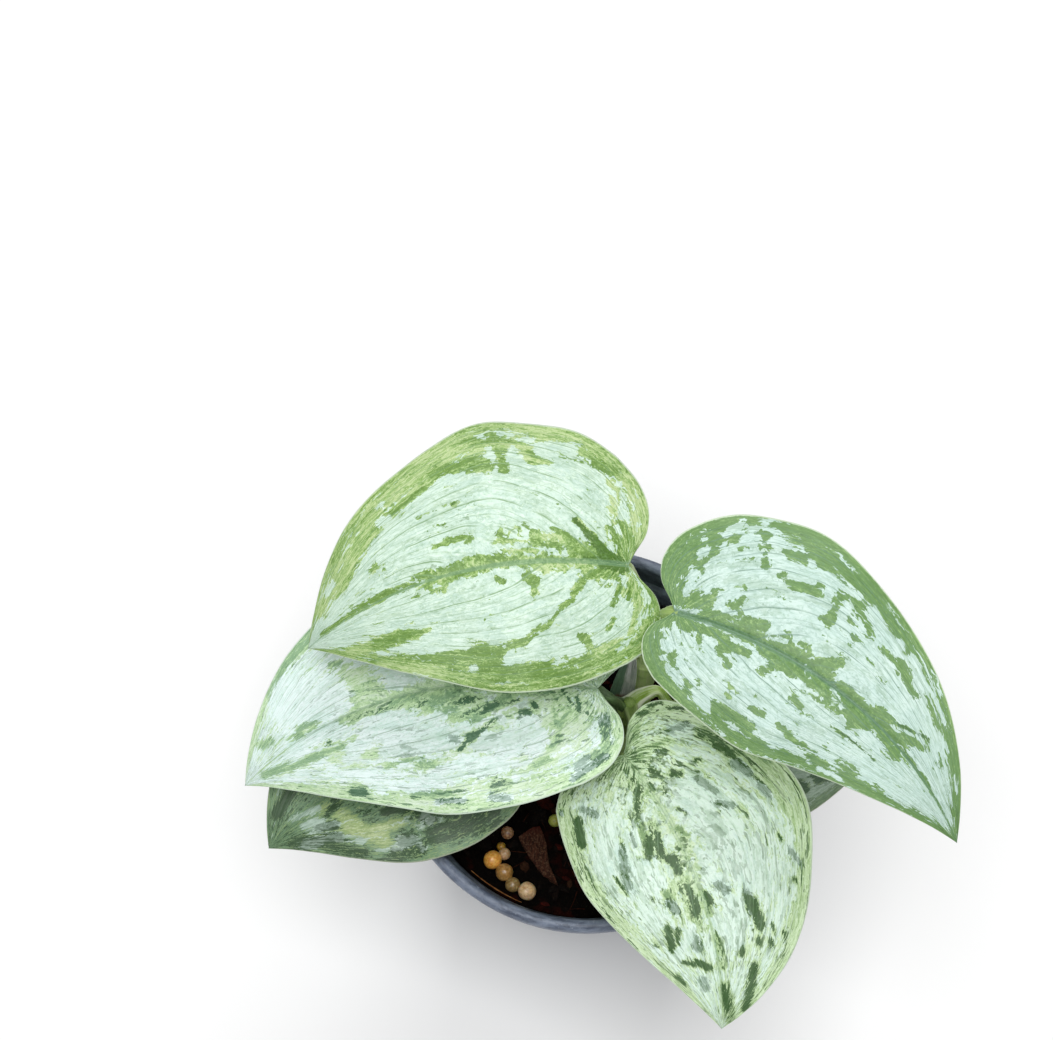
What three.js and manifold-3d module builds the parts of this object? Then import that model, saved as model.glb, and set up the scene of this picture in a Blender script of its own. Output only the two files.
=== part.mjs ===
// Satin pothos (Scindapsus pictus) rooted in a round 9 cm nursery pot.
// Millimetres, +Z up. The origin is the centre of the pot's underside.

import * as THREE from 'three';
import { mergeVertices } from 'three/addons/utils/BufferGeometryUtils.js';
import Module from 'manifold-3d';

const wasm = await Module();
wasm.setup();

// Clearance between pieces that touch
const gap = 0.3;

// Pot
const potHeight = 80;
const rimRadius = 45;
const lipWidth = 2.8;
const lipHeight = 2.6;
const bandRadius = 43.9;
const bandHeight = 10;
const shoulderRadius = 41.6;
const baseRadius = 31;
const wall = 1.3;
const floorThickness = 1.6;
const ledgeHeight = 71.5;
const potSides = 48;
const drainHoles = { count: 8, radius: 3, circle: 21 };

// Potting mix
const soilLevel = 66;
const soilLump = 1.3;
const holeDepth = 24;
const levelPatch = { x: -15, y: -27, radius: 15, blend: 6 };
const smallChips = { count: 22, length: [3, 6.5], width: [2, 3.8], thickness: [1.6, 2.6] };

// Leaf blades. Angles in degrees: heading from +X, pitch above level at the petiole, sweep and droop
// are how far the midrib turns sideways and down towards the tip. left and right are half widths.
// peak fills out the widest place of each half and narrows its lobe.
const bladeThickness = 0.8;
const leaves = [
  {
    name: 'back', base: [8.2, 25.4, 120], heading: 180, pitch: 18, roll: 3,
    length: 75, left: 26.7, right: 37.1, sweep: 30, droop: 58, fold: 2, cup: 28,
    lobes: [0.82, 0.63], belly: [0.07, 0.04], peak: [0.045, 0.09], wave: 0.7,
  },
  {
    name: 'left', base: [1.7, 2.1, 107], heading: 171.5, pitch: -2, roll: 2.6,
    length: 85, left: 27.1, right: 31.5, sweep: 48, droop: 27, fold: 8, cup: 20,
    lobes: [0.71, 0.7], belly: [0.09, 0.06], peak: [0.06, 0.03], wave: 0.6,
  },
  {
    name: 'low_left', base: [-22, -1.3, 88], heading: 191.5, pitch: -4, roll: 0,
    length: 57, left: 25, right: 25.5, sweep: 36, droop: 14, fold: 7, cup: 20,
    lobes: [0.93, 0.9], belly: [0.07, 0.05], peak: [0, 0], wave: 0.5,
  },
  {
    name: 'front', base: [7.5, -10.5, 99], heading: -55, pitch: 9, roll: 6,
    length: 62.5, left: 27, right: 23, sweep: -37, droop: 36, fold: 3, cup: 30,
    lobes: [0.9, 0.5], belly: [0.1, 0.08], peak: [0.13, 0.03], wave: 0.5,
  },
  {
    name: 'right', base: [16.9, 11.5, 130], heading: -20.5, pitch: 8, roll: 8,
    length: 76, left: 25.8, right: 19.2, sweep: -44, droop: 34, fold: 5, cup: 22,
    lobes: [0.66, 0.51], belly: [-0.05, 0.06], peak: [0.07, 0.1], wave: 0.6,
  },
  {
    name: 'low_right', base: [21, 4.5, 89], heading: -16, pitch: 4, roll: 0,
    length: 46, left: 21, right: 28, sweep: 4, droop: 26, fold: 7, cup: 20,
    lobes: [0.9, 0.9], belly: [0.03, 0.03], peak: [0, 0], wave: 0.4,
  },
];

// Heart shape of one half of a blade, from the sinus round the lobe to the tip:
// share of the length along the midrib, share of the half width across it
const heart = [
  [0, 0], [-0.035, 0.10], [-0.10, 0.27], [-0.115, 0.50], [-0.06, 0.76], [0.09, 0.955],
  [0.29, 1], [0.49, 0.875], [0.68, 0.62], [0.83, 0.345], [0.93, 0.14], [1, 0],
];
const ribs = 22;
const ribSteps = 4;

// Vine stems: where they stand in the mix, their route above it, radius at both ends, leaf node heights
const stems = {
  back: {
    foot: [14, 12.5],
    route: [[13.8, 12.7, 74], [13.3, 13.8, 87], [12.8, 14.6, 98]],
    radii: [2.3, 1.9],
    nodes: [78, 89, 97],
  },
  front: {
    foot: [9.2, 5.6],
    route: [[9.3, 5.6, 73], [9.6, 5.3, 80], [9.8, 5, 86.5]],
    radii: [2.7, 2],
    nodes: [74, 80.5],
  },
};

// Petioles: which stem, the point on its axis, the route to the blade, radius at both ends
const petioles = {
  back: { stem: 'back', route: [[13.2, 14, 87.5], [12.8, 18.2, 95], [11, 23.2, 109]], radii: [1.9, 1.25] },
  left: { stem: 'front', route: [[9.4, 5.4, 81], [6.8, 4.4, 88.5]], radii: [1.5, 1.15] },
  low_left: {
    stem: 'front',
    route: [[9.4, 5.5, 75], [2, 5, 77.5], [-9, 2.6, 81.5], [-17, 0.4, 84.5]],
    radii: [1.7, 1.1],
  },
  front: { stem: 'front', route: [[9.9, 5, 83.5], [10.4, 0.2, 88], [9.3, -5, 93.5]], radii: [1.8, 1.2] },
  right: { stem: 'back', route: [[12.9, 14.5, 97.2], [15.2, 14.6, 105], [18, 14.2, 115]], radii: [2, 1.3] },
  low_right: {
    stem: 'front',
    route: [[10.4, 5.6, 82], [12.8, 7, 85], [16.2, 7.6, 86.6]],
    radii: [2.5, 1.2],
  },
};
const bladeApproach = 4;

// Slow-release fertiliser prills on the mix: x, y, radius
const prillCluster = [
  [-21.2, -26.8, 2.15], [-18.5, -29.6, 2.05], [-16.6, -32.4, 1.75],
  [-13.4, -33.9, 2.1], [-18.5, -25.3, 1.4], [-19.3, -23.5, 1.05],
];
const loosePrills = { tan: [-17.9, -20.4, 1.5], green: [-7, -17.6, 1.5] };

// Large bark chip lying on the mix: outline in plan and thickness
const barkChip = {
  outline: [
    [-15.3, -21.3], [-10.6, -18.9], [-9, -23], [-8.3, -27.8], [-6.4, -32.4], [-9.6, -30.2], [-12.6, -26.4],
  ],
  thickness: 1.8,
};

// Papery dried sheath standing behind the front stem
const driedSheath = {
  foot: [8, 9.1, 77.5],
  top: [9.4, 12, 98.5],
  width: 5.6,
  hollow: 0.9,
  thickness: 0.7,
};

// Small helpers

function randomNumbers(seed) {
  let state = seed;
  return () => {
    state = (state * 1664525 + 1013904223) % 4294967296;
    return state / 4294967296;
  };
}

function vector(point) {
  return new THREE.Vector3(...point);
}

function curveThrough(points) {
  return new THREE.CatmullRomCurve3(points.map(vector), false, 'centripetal');
}

function closedMesh(vertices, triangles) {
  const geometry = new THREE.BufferGeometry();
  const coordinates = vertices.flatMap((v) => v.toArray());
  geometry.setAttribute('position', new THREE.Float32BufferAttribute(coordinates, 3));
  geometry.setIndex(triangles.flat());
  geometry.computeVertexNormals();
  return geometry;
}

// Closed skin over rings of points that follow one another, with a point at the middle of each end
function skin(rings) {
  const sides = rings[0].length;
  const vertices = rings.flat();
  const triangles = [];
  for (let k = 0; k < rings.length - 1; k += 1) {
    for (let i = 0; i < sides; i += 1) {
      const a = k * sides + i;
      const b = k * sides + ((i + 1) % sides);
      triangles.push([a, b, b + sides], [a, b + sides, a + sides]);
    }
  }
  const middle = (ring) => ring.reduce((sum, p) => sum.add(p), new THREE.Vector3()).divideScalar(sides);
  const last = (rings.length - 1) * sides;
  const start = vertices.push(middle(rings[0])) - 1;
  const end = vertices.push(middle(rings[rings.length - 1])) - 1;
  for (let i = 0; i < sides; i += 1) {
    const next = (i + 1) % sides;
    triangles.push([start, next, i], [end, last + i, last + next]);
  }
  return closedMesh(vertices, triangles);
}

// Round rod along a curve, its radius given by the share of the way along
function rod(curve, radiusAt, sides, steps) {
  const frames = curve.computeFrenetFrames(steps, false);
  const rings = [];
  for (let k = 0; k <= steps; k += 1) {
    const centre = curve.getPointAt(k / steps);
    const radius = radiusAt(k / steps, centre);
    const ring = [];
    for (let i = 0; i < sides; i += 1) {
      const angle = (2 * Math.PI * i) / sides;
      ring.push(centre.clone()
        .addScaledVector(frames.normals[k], radius * Math.cos(angle))
        .addScaledVector(frames.binormals[k], radius * Math.sin(angle)));
    }
    rings.push(ring);
  }
  return skin(rings);
}

function solidFrom(geometry) {
  const bare = geometry.clone();
  bare.deleteAttribute('normal');
  bare.deleteAttribute('uv');
  const merged = mergeVertices(bare, 1e-4);
  const index = Array.from(merged.index.array);
  const triVerts = [];
  for (let i = 0; i < index.length; i += 3) {
    const [a, b, c] = index.slice(i, i + 3);
    if (a !== b && b !== c && c !== a) triVerts.push(a, b, c);
  }
  return new wasm.Manifold(new wasm.Mesh({
    numProp: 3,
    vertProperties: new Float32Array(merged.attributes.position.array),
    triVerts: new Uint32Array(triVerts),
  }));
}

function geometryFrom(solid) {
  const { vertProperties, triVerts } = solid.getMesh();
  const geometry = new THREE.BufferGeometry();
  geometry.setAttribute('position', new THREE.Float32BufferAttribute(vertProperties, 3));
  geometry.setIndex(Array.from(triVerts));
  geometry.computeVertexNormals();
  return geometry;
}

// Body turned about +Z from a profile of [radius, height] points
function turned(profile, sides = potSides) {
  const points = profile.map(([r, z]) => new THREE.Vector2(r, z));
  return new THREE.LatheGeometry(points, sides).rotateX(Math.PI / 2);
}

function uprightCylinder(x, y, z0, z1, radius, sides) {
  const cylinder = new THREE.CylinderGeometry(radius, radius, z1 - z0, sides);
  return cylinder.rotateX(Math.PI / 2).translate(x, y, (z0 + z1) / 2);
}

// Pot

const innerSlope = (shoulderRadius - baseRadius) / (potHeight - bandHeight);

function innerRadius(z) {
  return baseRadius - wall + innerSlope * z;
}

function potBody() {
  const lipTop = potHeight;
  const bandFoot = potHeight - bandHeight;
  const lipInner = rimRadius - lipWidth;
  const profile = [
    [0, 0],
    [baseRadius - 1, 0],
    [baseRadius, 1],
    [shoulderRadius, bandFoot],
    [bandRadius - 0.6, bandFoot + 0.4],
    [bandRadius, bandFoot + 1],
    [bandRadius + 0.2, lipTop - lipHeight],
    [rimRadius - 0.2, lipTop - lipHeight + 0.4],
    [rimRadius, lipTop - 1.2],
    [rimRadius - 0.5, lipTop - 0.3],
    [rimRadius - lipWidth / 2, lipTop],
    [lipInner + 0.4, lipTop - 0.3],
    [lipInner, lipTop - 1.2],
    [lipInner - 0.3, ledgeHeight + 1],
    [innerRadius(ledgeHeight), ledgeHeight],
    [innerRadius(floorThickness), floorThickness],
    [0, floorThickness],
  ];
  let body = solidFrom(turned(profile));
  for (let i = 0; i < drainHoles.count; i += 1) {
    const angle = (2 * Math.PI * (i + 0.5)) / drainHoles.count;
    const x = drainHoles.circle * Math.cos(angle);
    const y = drainHoles.circle * Math.sin(angle);
    body = body.subtract(solidFrom(uprightCylinder(x, y, -1, floorThickness + 1, drainHoles.radius, 14)));
  }
  return geometryFrom(body);
}

// Potting mix

function soilHeight(x, y) {
  const lumps = Math.sin(0.33 * x + 1.1) * Math.cos(0.29 * y - 0.4)
    + 0.6 * Math.sin(0.61 * x - 0.47 * y) + 0.4 * Math.cos(0.85 * y + 0.5 * x + 2);
  const away = Math.hypot(x - levelPatch.x, y - levelPatch.y) - levelPatch.radius;
  return soilLevel + 0.5 * soilLump * lumps * THREE.MathUtils.smoothstep(away, 0, levelPatch.blend);
}

function chipSpots() {
  const random = randomNumbers(7);
  const between = ([low, high]) => low + (high - low) * random();
  const barkMiddle = [-10.5, -25.5, 8.5];
  const taken = [
    ...prillCluster, ...Object.values(loosePrills), barkMiddle,
    ...Object.values(stems).map(({ foot, radii }) => [...foot, radii[0] + 2]),
  ];
  const spots = [];
  while (spots.length < smallChips.count) {
    const radius = 33 * Math.sqrt(random());
    const angle = 2 * Math.PI * random();
    const x = radius * Math.cos(angle);
    const y = radius * Math.sin(angle);
    const size = [between(smallChips.length), between(smallChips.width), between(smallChips.thickness)];
    const turn = [0.5 * (random() - 0.5), 0.5 * (random() - 0.5), Math.PI * random()];
    const reach = 0.5 * size[0] + 0.6;
    if (taken.every(([tx, ty, tr]) => Math.hypot(x - tx, y - ty) > tr + reach)) {
      spots.push({ x, y, size, turn });
      taken.push([x, y, 0.4 * size[0]]);
    }
  }
  return spots;
}

function pottingMix() {
  const bottom = floorThickness + gap;
  const edge = innerRadius(soilLevel) - gap;
  const profile = [[0, bottom], [innerRadius(bottom) - gap, bottom], [edge, soilLevel]];
  for (let r = 36; r > 1; r -= 3.5) profile.push([r, soilLevel]);
  profile.push([0, soilLevel]);
  const block = turned(profile);
  const position = block.attributes.position;
  for (let i = 0; i < position.count; i += 1) {
    const x = position.getX(i);
    const y = position.getY(i);
    const onTop = position.getZ(i) > soilLevel - 0.1 && Math.hypot(x, y) < edge - 0.5;
    if (onTop) position.setZ(i, soilHeight(x, y));
  }
  let mix = solidFrom(block);
  for (const { x, y, size, turn } of chipSpots()) {
    const chip = new THREE.BoxGeometry(...size);
    chip.rotateX(turn[0]).rotateY(turn[1]).rotateZ(turn[2]).translate(x, y, soilHeight(x, y));
    mix = mix.add(solidFrom(chip));
  }
  for (const { foot, radii } of Object.values(stems)) {
    const hole = uprightCylinder(...foot, soilLevel - holeDepth, soilLevel + 6, radii[0] + 2 * gap, 16);
    mix = mix.subtract(solidFrom(hole));
  }
  return geometryFrom(mix);
}

function sphere([x, y, radius]) {
  return new THREE.SphereGeometry(radius, 10, 7).translate(x, y, soilLevel + gap + radius);
}

function prills() {
  const joined = prillCluster.map((prill) => solidFrom(sphere(prill))).reduce((all, one) => all.add(one));
  return geometryFrom(joined);
}

function barkPiece() {
  const outline = new THREE.Shape(barkChip.outline.map(([x, y]) => new THREE.Vector2(x, y)));
  const slab = new THREE.ExtrudeGeometry(outline, { depth: barkChip.thickness, bevelEnabled: false });
  return slab.translate(0, 0, soilLevel + gap);
}

// Stems and petioles

function stemRod({ foot, route, radii, nodes }, extra = 0) {
  const buried = [[...foot, soilLevel - holeDepth + gap], [...foot, soilLevel - 4]];
  const radiusAt = (u, centre) => {
    const swelling = nodes.reduce((sum, z) => sum + 0.35 * Math.exp(-(((centre.z - z) / 1.4) ** 2)), 0);
    return THREE.MathUtils.lerp(radii[0], radii[1], u) + swelling + extra;
  };
  return rod(curveThrough([...buried, ...route]), radiusAt, 12, 26);
}

function petioleRod({ stem, route, radii }, blade) {
  const { centre, along, normal } = blade.frame(0);
  const tangent = normal.clone().multiplyScalar(0.8).addScaledVector(along, 0.6);
  const end = centre.addScaledVector(normal, -0.5 * bladeThickness - gap - 0.6 * radii[1]);
  const before = end.clone().addScaledVector(tangent, -bladeApproach);
  const curve = curveThrough([...route, before.toArray(), end.toArray()]);
  const radiusAt = (u) => THREE.MathUtils.lerp(radii[0], radii[1], Math.min(1, 2.2 * u));
  const full = solidFrom(rod(curve, radiusAt, 8, 16));
  return geometryFrom(full.subtract(solidFrom(stemRod(stems[stem], gap))));
}

function sheath() {
  const foot = vector(driedSheath.foot);
  const top = vector(driedSheath.top);
  const rings = [];
  const steps = 6;
  const across = 5;
  for (let k = 0; k <= steps; k += 1) {
    const u = k / steps;
    const centre = foot.clone().lerp(top, u);
    const half = 0.5 * driedSheath.width * (1 - 0.55 * u * u);
    const ring = [];
    for (const side of [-1, 1]) {
      for (let i = 0; i <= across; i += 1) {
        const v = side * (1 - (2 * i) / across);
        const back = -driedSheath.hollow * v * v + 0.5 * side * driedSheath.thickness;
        ring.push(new THREE.Vector3(centre.x + half * v, centre.y + back, centre.z));
      }
    }
    rings.push(ring);
  }
  return geometryFrom(solidFrom(skin(rings)).subtract(solidFrom(stemRod(stems.front, gap))));
}

// Leaf blades

const heartPoints = heart.map(([q, w]) => new THREE.Vector3(q, w, 0));
const heartCurve = new THREE.CatmullRomCurve3(heartPoints, false, 'catmullrom', 0.5);

// The curved surface of a blade: s runs along the midrib, w across it, positive on the left
function bladeSurface(leaf) {
  const spineSteps = 80;
  const rad = THREE.MathUtils.degToRad;

  function direction(u) {
    const yaw = rad(leaf.heading + leaf.sweep * u ** 1.3);
    const pitch = rad(leaf.pitch - leaf.droop * u ** 1.2);
    const level = Math.cos(pitch);
    const along = new THREE.Vector3(Math.cos(yaw) * level, Math.sin(yaw) * level, Math.sin(pitch));
    return { along, yaw };
  }

  const spine = [vector(leaf.base)];
  for (let i = 1; i <= spineSteps; i += 1) {
    const both = direction((i - 1) / spineSteps).along.add(direction(i / spineSteps).along);
    spine.push(spine[i - 1].clone().addScaledVector(both, (0.5 * leaf.length) / spineSteps));
  }

  function frame(s) {
    const u = THREE.MathUtils.clamp(s / leaf.length, 0, 1);
    const { along, yaw } = direction(u);
    const level = new THREE.Vector3(-Math.sin(yaw), Math.cos(yaw), 0);
    const up = along.clone().cross(level);
    const roll = rad(leaf.roll);
    const side = level.clone().multiplyScalar(Math.cos(roll)).addScaledVector(up, Math.sin(roll));
    const normal = up.clone().multiplyScalar(Math.cos(roll)).addScaledVector(level, -Math.sin(roll));
    const k = Math.min(Math.floor(u * spineSteps), spineSteps - 1);
    const centre = spine[k].clone().lerp(spine[k + 1], u * spineSteps - k);
    centre.addScaledVector(along, Math.min(s, 0));
    return { centre, along, side, normal };
  }

  // Each half is bent up at the midrib by the fold and curls down towards the edge by the cup
  function point(s, w) {
    const { centre, side, normal } = frame(s);
    const half = w >= 0 ? leaf.left : leaf.right;
    const reach = Math.abs(w);
    const fold = rad(leaf.fold);
    const bend = rad(leaf.cup) / half;
    const out = (Math.sin(fold) - Math.sin(fold - bend * reach)) / bend;
    const lift = (Math.cos(fold - bend * reach) - Math.cos(fold)) / bend;
    const phase = w > 0 ? 1.3 : 0;
    const ripple = leaf.wave * (reach / half) ** 2 * Math.sin(6 * Math.PI * (s / leaf.length) + phase);
    return centre.addScaledVector(side, Math.sign(w) * out).addScaledVector(normal, lift + ripple);
  }

  function normalAt(s, w) {
    if (w === 0) return frame(s).normal;
    const step = 0.05;
    const alongS = point(s + step, w).sub(point(s - step, w));
    const alongW = point(s, w + step).sub(point(s, w - step));
    return alongS.cross(alongW).normalize();
  }

  return { point, normalAt, frame };
}

function bladeBody(leaf) {
  const surface = bladeSurface(leaf);
  const vertices = [];

  // Adds a point of the blade's middle surface, on the upper face and on the lower one
  function addPair(s, w) {
    const centre = surface.point(s, w);
    const half = surface.normalAt(s, w).multiplyScalar(0.5 * bladeThickness);
    return vertices.push(centre.clone().add(half), centre.clone().sub(half)) - 2;
  }

  const base = addPair(0, 0);
  const tip = addPair(leaf.length, 0);
  const midrib = [base];
  for (let i = 1; i < ribs; i += 1) midrib.push(addPair(leaf.length * (i / ribs) ** 1.4, 0));
  midrib.push(tip);

  const triangles = [];
  for (const side of [1, -1]) {
    const half = side > 0 ? leaf.left : leaf.right;
    const lobe = leaf.lobes[side > 0 ? 0 : 1];
    const belly = leaf.belly[side > 0 ? 0 : 1];
    const peak = leaf.peak[side > 0 ? 0 : 1];
    const columns = [];
    for (let i = 0; i <= ribs; i += 1) {
      const t = i / ribs;
      const edge = heartCurve.getPoint(t);
      const share = edge.x < 0 ? edge.x * lobe : edge.x;
      const q = share + belly * Math.sin(Math.PI * THREE.MathUtils.clamp(share, 0, 1));
      const widest = Math.exp(-(((share - 0.3) / 0.14) ** 2));
      const shoulder = Math.exp(-(((share + 0.05) / 0.1) ** 2));
      const reach = side * half * edge.y * (1 + peak * (widest - 1.6 * shoulder));
      const column = [midrib[i]];
      for (let j = 1; j <= ribSteps; j += 1) {
        const f = j / ribSteps;
        const s = leaf.length * THREE.MathUtils.lerp(t ** 1.4, q, f);
        const ends = i === 0 || i === ribs;
        column.push(ends ? midrib[i] : addPair(s, reach * f));
      }
      columns.push(column);
    }
    const face = (a, b, c) => {
      if (a === b || b === c || c === a) return;
      const upper = side > 0 ? [a, b, c] : [a, c, b];
      const lower = side > 0 ? [a + 1, c + 1, b + 1] : [a + 1, b + 1, c + 1];
      triangles.push(upper, lower);
    };
    for (let i = 0; i < ribs; i += 1) {
      for (let j = 0; j < ribSteps; j += 1) {
        const [a, b] = [columns[i][j], columns[i + 1][j]];
        const [d, c] = [columns[i][j + 1], columns[i + 1][j + 1]];
        face(a, b, c);
        face(a, c, d);
      }
      const [p, q] = [columns[i][ribSteps], columns[i + 1][ribSteps]];
      const rim = [[p, q, q + 1], [p, q + 1, p + 1]];
      triangles.push(...rim.map(([a, b, c]) => (side > 0 ? [a, b, c] : [a, c, b])));
    }
  }
  return { geometry: closedMesh(vertices, triangles), surface };
}

// Colours

const colours = {
  pot: 0x3b4258,
  soil: 0x1d1613,
  bark: 0x3a2018,
  prillAmber: 0xd9a24a,
  prillTan: 0xb08a5c,
  prillGreen: 0x9aa04c,
  stem: 0x8fa860,
  petiole: 0x9db86a,
  sheath: 0x7f7468,
  lime: 0xb8cf9a,
  silver: 0xbcd0bb,
  deep: 0x6d8a6c,
  green: 0x86ab78,
};
const bladeColours = {
  back: colours.lime, left: colours.silver, low_left: colours.deep,
  front: colours.silver, right: colours.green, low_right: colours.deep,
};

const plant = new THREE.Group();

function addPiece(name, geometry, colour, roughness) {
  const material = new THREE.MeshStandardMaterial({ color: colour, roughness, metalness: 0 });
  const mesh = new THREE.Mesh(geometry, material);
  mesh.name = name;
  plant.add(mesh);
}

addPiece('pot', potBody(), colours.pot, 0.5);
addPiece('potting_mix', pottingMix(), colours.soil, 0.95);
addPiece('bark_chip', barkPiece(), colours.bark, 0.9);
addPiece('fertiliser_prills', prills(), colours.prillAmber, 0.35);
addPiece('fertiliser_prill_tan', sphere(loosePrills.tan), colours.prillTan, 0.35);
addPiece('fertiliser_prill_green', sphere(loosePrills.green), colours.prillGreen, 0.35);
addPiece('dried_sheath', sheath(), colours.sheath, 0.9);
for (const [name, stem] of Object.entries(stems)) {
  addPiece(`vine_stem_${name}`, stemRod(stem), colours.stem, 0.5);
}
for (const leaf of leaves) {
  const { geometry, surface } = bladeBody(leaf);
  addPiece(`petiole_${leaf.name}`, petioleRod(petioles[leaf.name], surface), colours.petiole, 0.5);
  addPiece(`leaf_blade_${leaf.name}`, geometry, bladeColours[leaf.name], 0.45);
}

export default plant;
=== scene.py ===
# Satin pothos in its nursery pot: six marbled heart leaves on two short stems.
# The plant and pot are in millimetres and go through mm. The camera, the lamps and the depths of the
# bumps are in metres, as in Blender.
import math
import random

import bpy
import numpy as np
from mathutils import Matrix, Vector, noise


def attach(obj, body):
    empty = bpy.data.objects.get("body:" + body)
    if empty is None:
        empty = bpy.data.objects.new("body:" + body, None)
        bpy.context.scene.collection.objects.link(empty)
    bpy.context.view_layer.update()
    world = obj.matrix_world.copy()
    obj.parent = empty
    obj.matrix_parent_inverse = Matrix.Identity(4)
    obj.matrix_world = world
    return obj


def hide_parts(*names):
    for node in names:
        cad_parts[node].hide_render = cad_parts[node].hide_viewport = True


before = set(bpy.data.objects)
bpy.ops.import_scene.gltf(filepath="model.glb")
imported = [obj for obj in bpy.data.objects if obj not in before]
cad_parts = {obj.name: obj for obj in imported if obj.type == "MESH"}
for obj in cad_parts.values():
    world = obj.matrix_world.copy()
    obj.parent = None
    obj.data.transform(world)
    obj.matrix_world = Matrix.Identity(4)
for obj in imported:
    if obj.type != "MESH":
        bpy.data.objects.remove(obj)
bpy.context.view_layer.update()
mm = 0.001


# Helpers for selecting, shaping and settling a piece

def deselectAll():
    active = bpy.context.view_layer.objects.active
    if active and active.mode != "OBJECT":
        bpy.ops.object.mode_set(mode="OBJECT")
    bpy.ops.object.select_all(action="DESELECT")


def pick(*pieces):
    deselectAll()
    for piece in pieces:
        piece.select_set(True)
    bpy.context.view_layer.objects.active = pieces[0]


def joinAll(pieces):
    pick(*pieces)
    if len(pieces) > 1:
        bpy.ops.object.join()
    return bpy.context.object


def editAll(piece):
    # edit mode with the whole piece selected
    pick(piece)
    bpy.ops.object.mode_set(mode="EDIT")
    bpy.ops.mesh.select_all(action="SELECT")


def faceOut(piece):
    editAll(piece)
    bpy.ops.mesh.normals_make_consistent(inside=False)
    bpy.ops.object.mode_set(mode="OBJECT")


def getPoints(piece):
    co = np.empty(len(piece.data.vertices) * 3)
    piece.data.vertices.foreach_get("co", co)
    return co.reshape(-1, 3)


def setPoints(piece, points):
    piece.data.vertices.foreach_set("co", np.ascontiguousarray(points, dtype=float).ravel())
    piece.data.update()


def settle(piece, name, slot, *nodes):
    # the place goes into the mesh, then the piece joins the frame
    pick(piece)
    bpy.ops.object.transform_apply(location=True, rotation=True, scale=True)
    piece.name = name
    piece.data.name = name
    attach(piece, "root")
    if nodes:
        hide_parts(*nodes)
    return piece


def applyModifiers(piece):
    pick(piece)
    for modifier in list(piece.modifiers):
        bpy.ops.object.modifier_apply(modifier=modifier.name)


def smoothShade(piece, angle=None):
    pick(piece)
    if angle is None:
        bpy.ops.object.shade_smooth()
    else:
        bpy.ops.object.shade_smooth_by_angle(angle=math.radians(angle))


def addAttribute(piece, name, values):
    made = piece.data.attributes.new(name, "FLOAT_VECTOR", "POINT")
    made.data.foreach_set("vector", np.ascontiguousarray(values, dtype=float).ravel())


def smoothstep(low, high, value):
    t = np.clip((value - low) / (high - low), 0, 1)
    return t * t * (3 - 2 * t)


def wander(points, scale, seed):
    # smooth noise from -1 to 1 at each point
    shift = Vector((seed * 17.3, seed * 5.1, seed * 9.7))
    return np.array([noise.noise(Vector(p) * scale + shift) for p in points])


# Helpers for materials

def paint(code):
    # a six-figure web colour as linear light
    parts = [int(code[i:i + 2], 16) / 255 for i in (1, 3, 5)]
    return tuple(c / 12.92 if c < 0.04045 else ((c + 0.055) / 1.055) ** 2.4 for c in parts) + (1.0,)


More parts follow.
